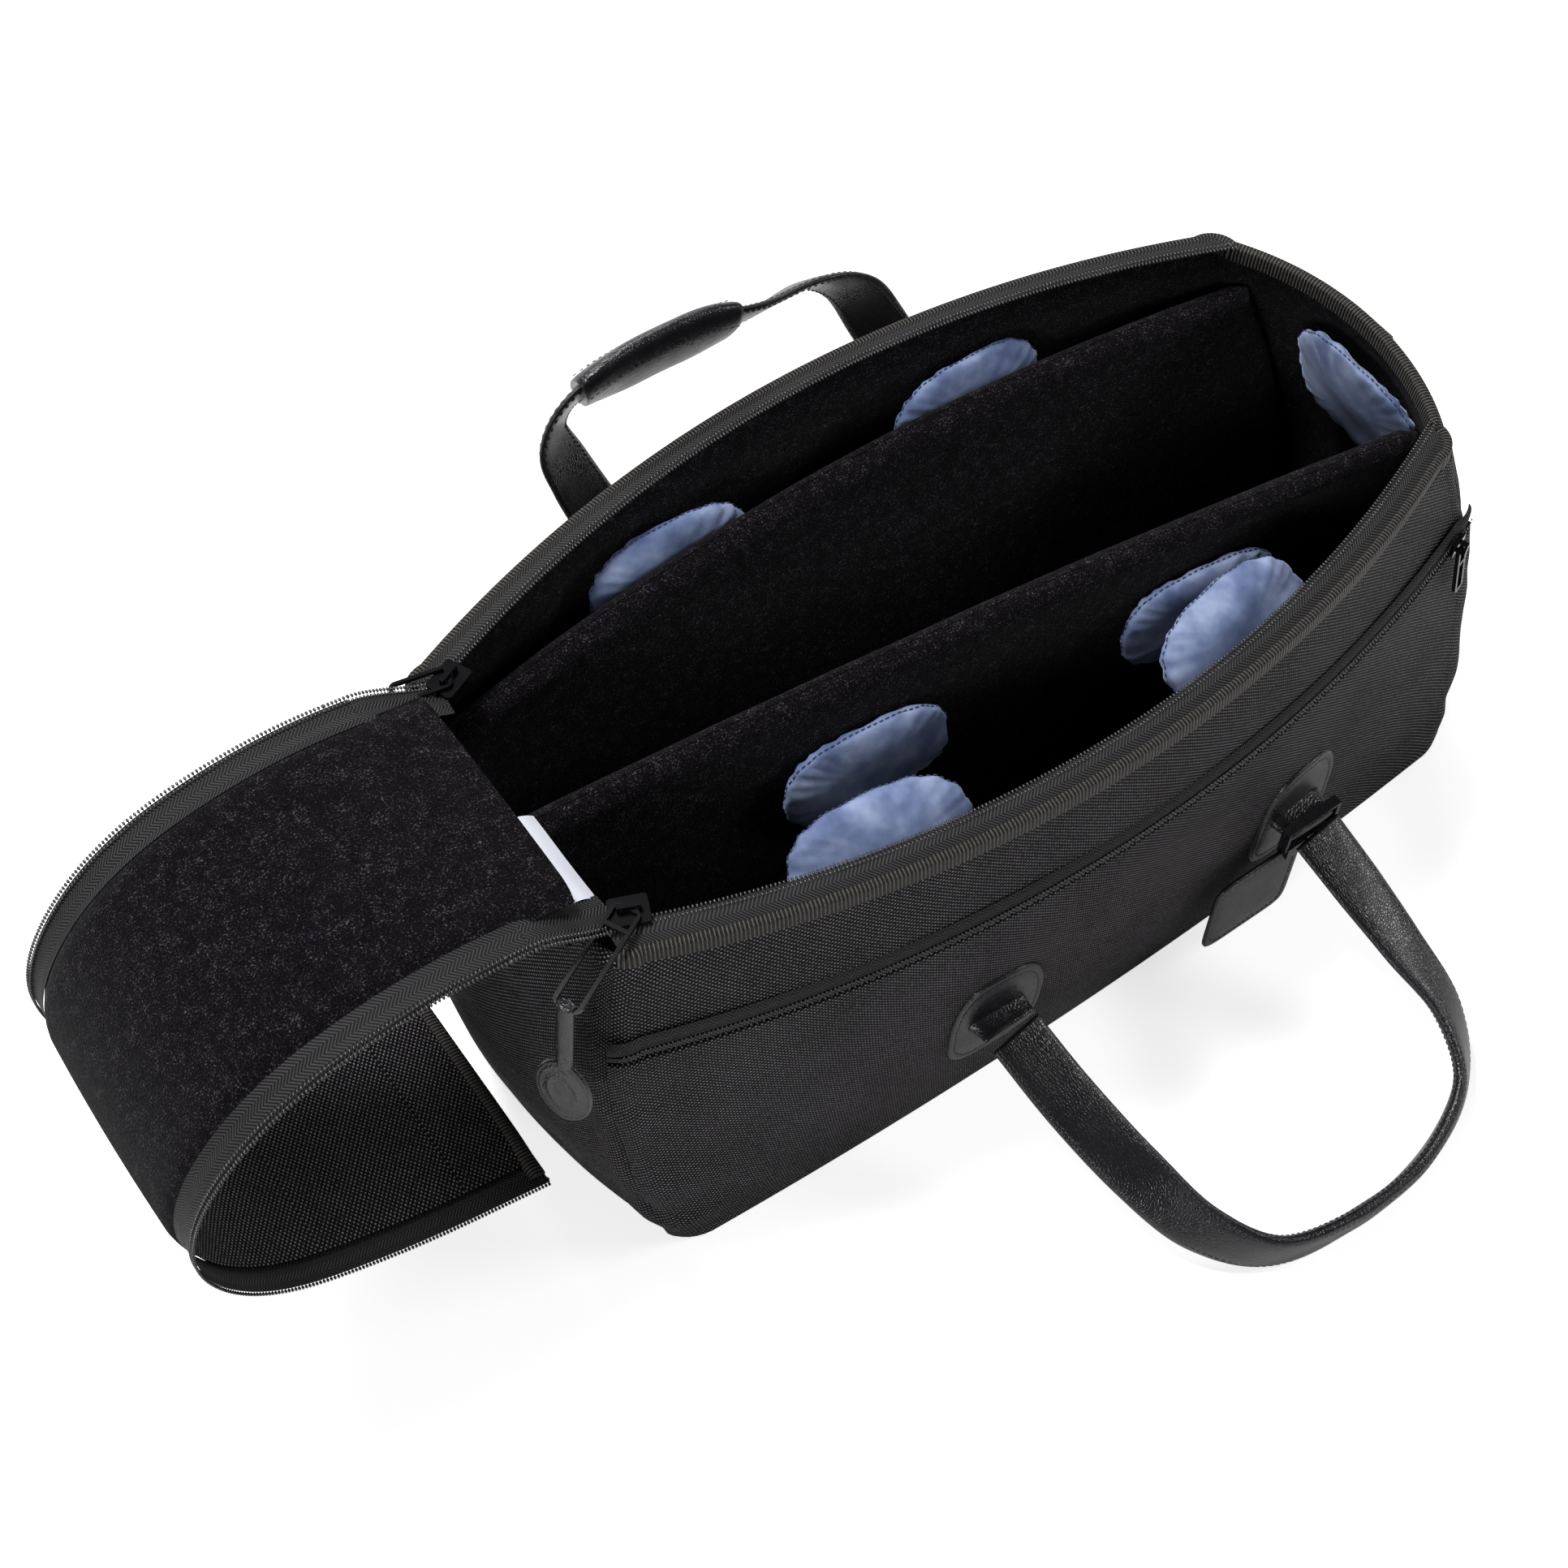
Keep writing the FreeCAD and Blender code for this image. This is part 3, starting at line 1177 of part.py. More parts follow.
doc.recompute()
os.makedirs("parts", exist_ok=True)
for obj in doc.Objects:
    if "Invalid" in obj.State or "Error" in obj.State:
        raise RuntimeError("%s is in state %s" % (obj.Label, obj.State))
for obj in results:
    if obj.Shape.isNull() or not obj.Shape.isValid():
        raise RuntimeError("%s has no valid shape" % obj.Label)
for obj in results:
    obj.Shape.exportStep("parts/%s.step" % obj.Label)
print("nodes", len(results))
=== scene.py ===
import math

import bpy
import numpy as np
from mathutils import Matrix, Vector


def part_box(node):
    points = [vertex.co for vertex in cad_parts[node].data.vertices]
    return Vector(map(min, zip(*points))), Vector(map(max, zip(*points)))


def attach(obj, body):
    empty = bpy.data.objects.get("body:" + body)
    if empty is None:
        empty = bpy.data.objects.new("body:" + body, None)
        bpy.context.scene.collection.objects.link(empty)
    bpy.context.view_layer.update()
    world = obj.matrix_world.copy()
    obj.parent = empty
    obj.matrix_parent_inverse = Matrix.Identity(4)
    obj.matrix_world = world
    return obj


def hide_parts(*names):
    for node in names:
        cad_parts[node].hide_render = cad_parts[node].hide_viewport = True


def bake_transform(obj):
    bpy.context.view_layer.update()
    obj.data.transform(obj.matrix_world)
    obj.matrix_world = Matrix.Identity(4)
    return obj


# Dressed look of a padded instrument bag, standing open with its lid rolled back on the left.
# Sizes in the settings are millimetres in the part's own frame, and meshes are made in metres.

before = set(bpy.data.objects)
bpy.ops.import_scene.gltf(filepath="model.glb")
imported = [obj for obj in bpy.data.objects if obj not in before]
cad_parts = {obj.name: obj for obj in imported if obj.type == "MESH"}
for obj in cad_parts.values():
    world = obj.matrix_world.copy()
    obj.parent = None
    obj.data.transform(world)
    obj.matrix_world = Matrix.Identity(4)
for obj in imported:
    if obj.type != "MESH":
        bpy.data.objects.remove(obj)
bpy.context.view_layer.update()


scene = bpy.context.scene
tau = 2 * math.pi


# Mesh helpers: grids, swept sections and many copies of a small form in one mesh

def newMesh(name, verts, faces, uvs=None, smooth=True):
    mesh = bpy.data.meshes.new(name)
    mesh.from_pydata((np.asarray(verts, float) / 1000).tolist(), [], faces)
    if uvs is not None:
        layer = mesh.uv_layers.new(name="UVMap")
        layer.data.foreach_set("uv", np.asarray(uvs, np.float32).ravel())
    if smooth:
        mesh.polygons.foreach_set("use_smooth", np.ones(len(mesh.polygons), bool))
    mesh.update()
    obj = bpy.data.objects.new(name, mesh)
    scene.collection.objects.link(obj)
    return obj


def gridCells(rows, cols, wrap=False):
    # Row and column of the four corners of each cell, in order round it.
    r, c = np.meshgrid(np.arange(rows - 1), np.arange(cols if wrap else cols - 1), indexing="ij")
    return r.reshape(-1, 1) + [0, 0, 1, 1], c.reshape(-1, 1) + [0, 1, 1, 0]


def runLengths(points):
    # Distance travelled along rows of points, from the first.
    steps = np.linalg.norm(np.diff(points, axis=0), axis=1)
    return np.concatenate([[0], np.cumsum(steps)])


def sampled(places, run, values):
    # Rows of values read off at distances along a run.
    return np.stack([np.interp(places, run, column) for column in values.T], axis=1)


def looped(points):
    return np.concatenate([points, points[:1]])


def stacked(*parts):
    # Coordinates joined into points, a single number standing for all.
    return np.stack(np.broadcast_arrays(*parts), axis=-1)


def raised(plan, height):
    return stacked(*plan.T, height)


def unit(vectors):
    return vectors / np.maximum(np.linalg.norm(vectors, axis=-1, keepdims=True), 1e-9)


def curved(values, power):
    # Sine or cosine bent to a squarer or rounder outline: its size to a power, its sign kept.
    return np.sign(values) * np.abs(values) ** power


def gridPiece(name, points, material, wrap=False, flip=False):
    # Piece from a grid of points, its texture coordinates in millimetres along both ways.
    points = np.asarray(points, float)
    rows, cols = points.shape[:2]
    closed = np.concatenate([points, points[:, :1]], axis=1) if wrap else points
    r, c = gridCells(rows, cols, wrap)
    if flip:
        r, c = r[:, ::-1], c[:, ::-1]
    alongRows = runLengths(closed[:, closed.shape[1] // 2])
    alongCols = runLengths(closed[rows // 2])
    uv = stacked(alongCols[c], alongRows[r])
    obj = newMesh(name, points.reshape(-1, 3), (r * cols + c % cols).tolist(), uv.reshape(-1, 2))
    obj.data.materials.append(material)
    return obj


def smoothPath(points, count):
    # Curve through points, evenly spaced: cubic between neighbours, end tangents repeated.
    padded = np.concatenate([2 * points[:1] - points[1:2], points, 2 * points[-1:] - points[-2:-1]])
    t = np.linspace(0, 1, 24, endpoint=False)[:, None]
    fine = []
    for index in range(len(points) - 1):
        a, b, c, d = padded[index:index + 4]
        fine.append(0.5 * (2 * b + (c - a) * t + (2 * a - 5 * b + 4 * c - d) * t ** 2
                           + (3 * b - a - 3 * c + d) * t ** 3))
    fine = np.concatenate(fine + [points[-1:]])
    run = runLengths(fine)
    return sampled(np.linspace(0, run[-1], count), run, fine)


def sweepPiece(name, path, wide, thin, section, material):
    # Section (across, through), one or one per station, carried along a path, with closed ends.
    wide, thin = (np.broadcast_to(way, path.shape)[:, None] for way in (wide, thin))
    rings = path[:, None] + section[..., :1] * wide + section[..., 1:] * thin
    first, last = (np.broadcast_to(end[None, None], rings[:1].shape) for end in path[[0, -1]])
    rings = np.concatenate([first, first * 0.1 + rings[:1] * 0.9, rings,
                            last * 0.1 + rings[-1:] * 0.9, last])
    return gridPiece(name, rings, material, wrap=True)


def flatSection(width, thick, count=28, power=5):
    # Rounded flat outline: a superellipse, closed.
    angle = np.linspace(0, tau, count, endpoint=False)
    return stacked(width / 2 * curved(np.cos(angle), 2 / power),
                   thick / 2 * curved(np.sin(angle), 2 / power * 1.4))


def sectionRow(widths, thicks, count, power):
    return np.stack([flatSection(w, t, count, power) for w, t in zip(widths, thicks)])


def copiesPiece(name, template, faces, places, along, across, up, material):
    # One mesh of many small copies: template points are (along, across, up) at each place.
    along, across, up = (np.broadcast_to(way, places.shape)[:, None]
                         for way in (along, across, up))
    verts = (places[:, None] + template[:, :1] * along + template[:, 1:2] * across
             + template[:, 2:] * up)
    every = faces[None] + np.arange(len(places))[:, None, None] * len(template)
    obj = newMesh(name, verts.reshape(-1, 3), every.reshape(-1, 4).tolist())
    obj.data.materials.append(material)
    return obj


def tubeTemplate(path, radius, sides=6):
    # Small tube along a path, drawn in at both ends, as points and quads.
    path = np.asarray(path, float)
    tangent = unit(np.gradient(path, axis=0))
    side = unit(np.cross(tangent, np.array([1.0, 0.31, 0.17])))
    other = np.cross(tangent, side)
    angle = np.linspace(0, tau, sides, endpoint=False)
    scale = np.ones(len(path))
    scale[[0, -1]] = 0.15
    rings = path[:, None] + (radius * scale)[:, None, None] * (
        np.cos(angle)[:, None] * side[:, None] + np.sin(angle)[:, None] * other[:, None])
    r, c = gridCells(len(path), sides, True)
    return rings.reshape(-1, 3), r * sides + c % sides


def dressed(obj, bodies, *nodes, span=None):
    # Rides on one body; with two, it is baked where it stands and its span (x, z) has no effect.
    # Stands for its nodes.
    bodies = (bodies,) if isinstance(bodies, str) else bodies
    if len(bodies) == 1:
        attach(obj, bodies[0])
    else:
        start, end = ((x / 1000, 0, z / 1000) for x, z in span)
        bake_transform(obj)
        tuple(start)
        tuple(end)
    nodes = [node for node in nodes if node]
    if nodes:
        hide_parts(*nodes)


def nodePoints(node):
    # Vertices of a solid, in millimetres.
    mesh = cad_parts[node].data
    co = np.zeros(len(mesh.vertices) * 3)
    mesh.vertices.foreach_get("co", co)
    return co.reshape(-1, 3) * 1000


# Materials, all procedural, with texture coordinates in millimetres

def addNode(owner, kind, inputs=(), **settings):
    # New node, its sockets given numbers or linked to other nodes' outputs.
    tree = owner.node_tree
    node = tree.nodes.new("ShaderNode" + kind)
    for key, value in settings.items():
        setattr(node, key, value)
    for key, value in dict(inputs).items():
        if isinstance(value, bpy.types.NodeSocket):
            tree.links.new(value, node.inputs[key])
        else:
            node.inputs[key].default_value = value
    return node


def shader(name, color, rough, metal=0.0, sheen=0.0, coat=0.0, specular=0.5):
    mat = bpy.data.materials.new(name)
    mat.use_nodes = True
    bsdf = mat.node_tree.nodes["Principled BSDF"]
    for key, value in (("Base Color", (*color, 1)), ("Roughness", rough), ("Metallic", metal),
                       ("Specular IOR Level", specular), ("Sheen Weight", sheen),
                       ("Sheen Roughness", 0.45), ("Coat Weight", coat),
                       ("Coat Roughness", 0.15)):
        bsdf.inputs[key].default_value = value
    return mat, bsdf


def times(mat, first, second):
    return addNode(mat, "Math", {0: first, 1: second}, operation="MULTIPLY").outputs[0]


def plus(mat, first, second):
    return addNode(mat, "Math", {0: first, 1: second}, operation="ADD").outputs[0]


def coordinates(mat, kind):
    return addNode(mat, "TexCoord").outputs[kind]


def axesOf(mat, vector):
    parts = addNode(mat, "SeparateXYZ", {0: vector})
    return parts.outputs[0], parts.outputs[1]


def waveOf(mat, value, pitch):
    turned = times(mat, value, tau / pitch)
    return addNode(mat, "Math", {0: turned}, operation="SINE").outputs[0]


def noiseOf(mat, vector, scale, detail=3.0, rough=0.6):
    return addNode(mat, "TexNoise", {"Vector": vector, "Scale": scale, "Detail": detail,
                                     "Roughness": rough}).outputs["Fac"]


def bumpInto(mat, bsdf, height, strength, distance):
    bump = addNode(mat, "Bump", {"Height": height, "Strength": strength, "Distance": distance})
    mat.node_tree.links.new(bump.outputs[0], bsdf.inputs["Normal"])


def rampInto(mat, factor, target, *stops):
    # Colour ramp from a factor to a shader's socket, its stops (place, colour) in order.
    ramp = addNode(mat, "ValToRGB", {0: factor})
    elements = ramp.color_ramp.elements
    for element, (place, color) in zip(elements, (stops[0], stops[-1])):
        element.position = place
        element.color = (*color, 1)
    for place, color in stops[1:-1]:
        elements.new(place).color = (*color, 1)
    mat.node_tree.links.new(ramp.outputs[0], target)


def wovenMaterial():
    # Coarse plain weave: crossed sine waves, with a painted highlight where both crest and painted
    # shade in the dips between, under a patchy speckle.
    mat, bsdf = shader("wovenCloth", (0.02, 0.019, 0.021), 0.62, specular=0.12)
    uv = coordinates(mat, "UV")
    u, v = axesOf(mat, uv)
    cross = times(mat, waveOf(mat, u, 3.2), waveOf(mat, v, 2.8))
    bumpInto(mat, bsdf, cross, 0.7, 0.0008)
    speck = noiseOf(mat, uv, 0.9, 2.0)
    patches = noiseOf(mat, uv, 0.02, 3.0)
    # The crest term paints a highlight on the raised yarn tops and shade in the dips; speckle and
    # patches are random tone.
    shade = plus(mat, times(mat, cross, 0.34), times(mat, speck, 0.55))
    shade = plus(mat, shade, plus(mat, times(mat, patches, 0.14), 0.17))
    rampInto(mat, shade, bsdf.inputs["Base Color"], (0.3, (0.0032, 0.0026, 0.0034)),
             (0.55, (0.0072, 0.0060, 0.0074)), (0.69, (0.034, 0.031, 0.035)),
             (0.83, (0.34, 0.32, 0.34)))
    return mat


def plushMaterial():
    # Short pile: fine noise lumps, paler where the fine noise peaks: a painted highlight on the
    # fibre ends and painted shade between the lumps.
    mat, bsdf = shader("plushPile", (0.008, 0.0075, 0.009), 1.0, sheen=0.05, specular=0.05)
    spot = coordinates(mat, "Object")
    both = plus(mat, times(mat, noiseOf(mat, spot, 1150, 1.0, 0.7), 0.75),
                times(mat, noiseOf(mat, spot, 160, 2.0, 0.5), 0.25))
    bumpInto(mat, bsdf, both, 0.9, 0.0014)
    # Colour follows the bump height: painted highlight on the lump tops, painted shade in the
    # hollows.
    rampInto(mat, both, bsdf.inputs["Base Color"], (0.38, (0.0018, 0.0014, 0.0021)),
             (0.58, (0.0075, 0.0062, 0.0084)), (0.73, (0.10, 0.09, 0.104)))
    return mat


def velvetMaterial():
    # Velvet: a blue sheen over a colour that drifts from shade to light in broad patches.
    mat, bsdf = shader("blueVelvet", (0.16, 0.22, 0.42), 0.8, sheen=0.7, specular=0.15)
    bsdf.inputs["Sheen Tint"].default_value = (0.62, 0.72, 1.0, 1)
    bsdf.inputs["Sheen Roughness"].default_value = 0.32
    spot = coordinates(mat, "Object")
    bumpInto(mat, bsdf, noiseOf(mat, spot, 1500, 2.0, 0.6), 0.35, 0.0006)
    rampInto(mat, noiseOf(mat, spot, 38, 3.0, 0.55), bsdf.inputs["Base Color"],
             (0.32, (0.075, 0.105, 0.215)), (0.5, (0.155, 0.205, 0.36)),
             (0.68, (0.30, 0.36, 0.54)))
    return mat


def leatherMaterial():
    # Grained leather: small cells for the grain, long noise for creases and polish.
    mat, bsdf = shader("blackLeather", (0.007, 0.007, 0.0095), 0.4, coat=0.08, specular=0.6)
    spot = coordinates(mat, "Object")
    cells = addNode(mat, "TexVoronoi", {"Vector": spot, "Scale": 620}, feature="DISTANCE_TO_EDGE")
    grain = addNode(mat, "Math", {0: cells.outputs["Distance"], 1: 0.22}, operation="MINIMUM")
    height = plus(mat, times(mat, grain.outputs[0], 1.6),
                  times(mat, noiseOf(mat, spot, 95, 4.0, 0.6), 0.9))
    bumpInto(mat, bsdf, height, 0.4, 0.0008)
    rampInto(mat, noiseOf(mat, spot, 30, 3.0), bsdf.inputs["Roughness"],
             (0.3, (0.22, 0.22, 0.22)), (0.7, (0.38, 0.38, 0.38)))
    return mat


def ribbedMaterial():
    # Grosgrain: cross ribs along the length, softened by a little noise; the colour follows the
    # ribs' height, a painted highlight on each ridge and painted shade in each groove.
    mat, bsdf = shader("ribbedTape", (0.04, 0.036, 0.034), 0.5, specular=0.3)
    uv = coordinates(mat, "UV")
    rib = waveOf(mat, axesOf(mat, uv)[1], 2.0)
    bumpInto(mat, bsdf, rib, 0.9, 0.0007)
    # Rib height into colour: painted highlight on the ridges, painted shade in the grooves; the
    # noise is random tone.
    level = plus(mat, times(mat, rib, 0.4), noiseOf(mat, uv, 0.8, 2.0))
    rampInto(mat, level, bsdf.inputs["Base Color"], (0.2, (0.006, 0.0055, 0.005)),
             (0.55, (0.036, 0.033, 0.031)), (0.9, (0.125, 0.114, 0.104)))
    return mat


def tapeMaterial():
    # Zip tape: a fine herringbone, its rows leaning in turn; the colour follows the rows' height, a
    # painted highlight on the ridges and painted shade in the grooves.
    mat, bsdf = shader("zipTape", (0.03, 0.029, 0.031), 0.6, specular=0.2)
    u, v = axesOf(mat, coordinates(mat, "UV"))
    zigzag = addNode(mat, "Math", {0: u, 1: 4.2}, operation="PINGPONG").outputs[0]
    rib = waveOf(mat, plus(mat, v, zigzag), 2.0)
    bumpInto(mat, bsdf, rib, 0.6, 0.0005)
    # Rib height into colour: painted highlight on the ridges, painted shade in the grooves.
    rampInto(mat, plus(mat, times(mat, rib, 0.35), 0.5), bsdf.inputs["Base Color"],
             (0.15, (0.003, 0.003, 0.0034)), (0.85, (0.05, 0.048, 0.051)))
    return mat


cloth = wovenMaterial()
plush = plushMaterial()
velvet = velvetMaterial()
leather = leatherMaterial()
ribbed = ribbedMaterial()
tape = tapeMaterial()
teethMat = shader("zipTeeth", (0.02, 0.02, 0.022), 0.26, specular=0.9)[0]
thread = shader("sewingThread", (0.05, 0.05, 0.056), 0.35)[0]
velvetThread = shader("velvetThread", (0.035, 0.05, 0.11), 0.7)[0]
blackMetal = shader("blackMetal", (0.005, 0.005, 0.006), 0.16, specular=0.3)[0]
ringMetal = shader("ringMetal", (0.3, 0.3, 0.32), 0.22, metal=1.0)[0]
satin = shader("whiteSatin", (0.72, 0.74, 0.82), 0.35, sheen=0.3)[0]
pairs = (-1, "A"), (1, "B")
hands = (-1, "front"), (1, "rear")
print("materials ready")


# Plan of the bag: the same height shares and corner arcs as the solids

shell = {
    "height": 272, "baseLength": 288, "baseWidth": 128, "rimLeft": 284, "rimRight": 240,
    "rimWidth": 97, "sideBow": (9, 49), "baseEndBow": 14, "hingeBow": 1, "rightBow": 22,
    "endSwell": 18, "bowSwell": 10, "sideSwell": 7, "corner": (30, 16), "wall": 14,
    "shares": (0, 0.03, 0.09, 0.18, 0.3, 0.42, 0.54, 0.65, 0.75, 0.84, 0.92, 1),
    "swell": (0, 0.22, 0.42, 0.64, 0.85, 0.97, 1, 0.94, 0.79, 0.57, 0.3, 0),
    "wallShares": (1, 1, 1, 1, 1, 1, 1, 1, 1, 0.95, 0.8, 0.36),
}


def mixed(pair, share):
    return pair[0] * (1 - share) + pair[1] * share


def planAt(share):
    # Outline at a share of the height: base mixed into rim, plus the walls' swell between.
    swell = np.interp(share, shell["shares"], shell["swell"])

    def swollen(base, rim, swelling):
        return mixed((shell[base], shell[rim]), share) + shell[swelling] * swell

    return {
        "left": swollen("baseLength", "rimLeft", "endSwell"),
        "right": swollen("baseLength", "rimRight", "endSwell"),
        "half": mixed((shell["baseWidth"], shell["rimWidth"]), share),
        "sideBow": mixed(shell["sideBow"], share) + shell["sideSwell"] * swell,
        "leftBow": swollen("baseEndBow", "hingeBow", "bowSwell"),
        "rightBow": swollen("baseEndBow", "rightBow", "bowSwell"),
        "corner": mixed(shell["corner"], share),
        "wall": shell["wall"] * np.interp(share, shell["shares"], shell["wallShares"]),
    }


# Each side: the way it faces in degrees, the corner it starts from, and the bow that it has
sides = {"front": (-90, (-1, -1), "sideBow"), "right": (0, (1, -1), "rightBow"),
         "rear": (90, (1, 1), "sideBow"), "left": (180, (-1, 1), "leftBow")}


def arcRadius(chord, bow):
    # Radius of an arc from half its chord c and its bow b: (c c + b b) / 2 b.
    return (chord ** 2 + bow ** 2) / (2 * bow)


def sidePath(side, share, inset, count, cornerCount=7):
    # Points and outward normals of one side in plan: half a corner, the bow, half a corner.
    plan = planAt(share)
    radius = plan["corner"] - inset
    order = list(sides)

    def centre(name):
        sx, sy = sides[name][1]
        x = (plan["right"] if sx > 0 else plan["left"]) - plan["corner"]
        return np.array([sx * x, sy * (plan["half"] - plan["corner"])])

    start, end = centre(side), centre(order[(order.index(side) + 1) % 4])
    facing = math.radians(sides[side][0])
    out = np.array([math.cos(facing), math.sin(facing)])
    ahead = np.array([-out[1], out[0]])

    def turned(angle):
        return np.cos(angle)[:, None] * out + np.sin(angle)[:, None] * ahead

    bow = plan[sides[side][2]]
    chord = np.linalg.norm(end - start) / 2
    arc = arcRadius(chord, bow)
    half = math.asin(min(1, chord / arc))
    bowedOut = turned(np.linspace(-half, half, count))
    bowed = (start + end) / 2 + out * (radius + bow - arc) + arc * bowedOut
    corner = np.linspace(-math.pi / 4, 0, cornerCount)[:-1]
    firstOut, lastOut = turned(corner), turned(-corner[::-1])
    points = np.concatenate([start + radius * firstOut, bowed, end + radius * lastOut])
    return points, unit(np.concatenate([firstOut, bowedOut, lastOut]))


def sideReach(share, x):
    # Distance of the bowed front or rear face from the middle plane, at a place along it.
    plan = planAt(share)
    middle = (plan["right"] - plan["left"]) / 2
    bow = plan["sideBow"]
    arc = arcRadius((plan["right"] + plan["left"]) / 2 - plan["corner"], bow)
    return plan["half"] + bow - arc + np.sqrt(np.maximum(arc ** 2 - (x - middle) ** 2, 0))


def softNoise(seed, points, scale):
    # Smooth random bumps, the mean of a few slanted sine waves with random phases.
    local = np.random.default_rng(seed)
    total = np.zeros(points.shape[:-1])
    for _ in range(9):
        direction = unit(local.normal(size=3))
        pitch = scale * local.uniform(0.6, 1.8)
        total += np.sin(points @ direction * tau / pitch + local.uniform(0, tau))
    return total / 5


# Outer cloth, one skin a side, drawn in at the corner seams with small puckers beside them

skin = {"columns": 150, "rows": 74, "seamDepth": 2.6, "seamWidth": 6, "pucker": 1.5,
        "puckerReach": 24, "wave": 1.0, "top": 0.975, "frontSplit": 0.715, "baseInset": 1.2}


def skinGrid(side, low, high, inset, rows, seed):
    # Side path at each height, moved in at the seams by a bell curve and puckers that fade
    # from them, and out by a slow wave.
    grid = []
    for share in np.linspace(low, high, rows):
        plan, out = sidePath(side, share, inset, skin["columns"])
        run = runLengths(plan)
        edge = np.minimum(run, run[-1] - run)
        pull = skin["seamDepth"] * np.exp(-(edge / skin["seamWidth"]) ** 2)
        height = share * shell["height"]
        ripple = np.sin(height / 7.3 + 2.2 * np.sin(height / 31))
        ripple = ripple * (0.5 + 0.5 * np.sin(height / 43))
        pull = pull + skin["pucker"] * ripple * np.exp(-edge / skin["puckerReach"])
        fade = min(1, (share - low) * 12, (high - share) * 12 + 0.1)
        wave = skin["wave"] * softNoise(seed, raised(plan, height), 130) * fade
        moved = plan - out * (pull * max(fade, 0.2) - np.minimum(wave, 0.9))[:, None]
        grid.append(raised(moved, height))
    return np.array(grid)


def planLoop(share, inset, count):
    return np.concatenate([sidePath(side, share, inset, count)[0][:-1] for side in sides])


def buildSkins():
    for seed, side in enumerate(("right", "rear", "left")):
        grid = skinGrid(side, 0, skin["top"], 0, skin["rows"], seed)
        dressed(gridPiece(side + "Cloth", grid, cloth), "bag", "outer_%s_panel" % side,
                side + "_foam")
    upper = skinGrid("front", skin["frontSplit"], skin["top"], 0, 30, 8)
    dressed(gridPiece("frontUpperCloth", upper, cloth), "bag", "outer_front_panel", "front_foam")
    outline = planLoop(0, skin["baseInset"], 60)
    base = [raised(outline * share, height) for share, height in
            ((0, 0.2), (0.3, 0.2), (0.6, 0.2), (0.9, 0.2), (0.97, 0.2), (1, 2.6))]
    dressed(gridPiece("baseCloth", base, cloth, wrap=True, flip=True), "bag",
            "outer_base_panel", "base_board")


pocket = {"top": 196, "out": 3.5, "fold": 2.2, "tape": 16, "slit": 1.8, "pitch": 2.2,
          "tooth": (1.25, 0.9, 0.5), "teethApart": 1.5}


def buildPocket():
    # Lower front layer: flat against the wall, its top edge rolled in above the zip tape.
    topShare = pocket["top"] / shell["height"]
    grid = skinGrid("front", 0.004, topShare, -pocket["out"], 60, 5)
    top = grid[-1]
    inner = skinGrid("front", 0.7, topShare, -0.6, 3, 5)[-1]
    lip = []
    for turn in np.linspace(0, math.pi / 2, 5)[1:]:
        part = 1 - math.cos(turn)
        row = top * (1 - part) + inner * part
        row[:, 2] = top[:, 2] + pocket["fold"] * math.sin(turn) * (1 - part * 0.6)
        lip.append(row)
    dressed(gridPiece("pocketCloth", np.concatenate([grid, lip]), cloth), "bag", "pocket_panel")
    middle = pocket["tape"] / 2
    plan, out = sidePath("front", (pocket["top"] + middle) / shell["height"],
                         -pocket["out"] + 0.8, 220)
    for name, low, high in (("Lower", -1, middle - pocket["slit"] / 2),
                            ("Upper", middle + pocket["slit"] / 2, 17)):
        rows = []
        for part in np.linspace(0, 1, 5):
            height = pocket["top"] + low + (high - low) * part
            sink = 2.6 * max(0, abs(height - pocket["top"] - middle) - 6) / 3
            rows.append(raised(plan - out * sink, height))
        dressed(gridPiece("pocketTape" + name, rows, tape), "bag",
                name == "Lower" and "pocket_zip_tape")


def buildLining():
    # Inner face of each wall with a slow wave, and a flat floor shrunk to its middle.
    for side in sides:
        rows = []
        for share in np.linspace(0.03, 0.985, 40):
            plan, out = sidePath(side, share, planAt(share)["wall"], 90)
            row = raised(plan, share * shell["height"])
            row[:, :2] += out * (0.5 * softNoise(40, row, 90))[:, None]
            rows.append(row)
        dressed(gridPiece(side + "Plush", rows, plush, flip=True), "bag", side + "_lining")
    outline = planLoop(0.03, shell["wall"] - 1, 50)
    rows = [raised(outline * share, 8.1) for share in (0, 0.35, 0.7, 1)]
    dressed(gridPiece("floorPlush", rows, plush, wrap=True), "bag", "floor_lining")


buildSkins()
buildPocket()
buildLining()
print("cloth, pocket and lining ready")


# Ribbed binding folded over the rim of the front, right and rear walls

binding = {"grow": 1.3, "depth": 9.5, "top": 273.6, "count": 22, "crown": 2.2}


def rimLoop():
    points, outs = [], []
    for side, count in (("front", 260), ("right", 150), ("rear", 260)):
        last = None if side == "rear" else -1
        plan, out = sidePath(side, 1, 0, count)
        points.append(plan[:last])
        outs.append(out[:last])
    return np.concatenate(points), unit(np.concatenate(outs))


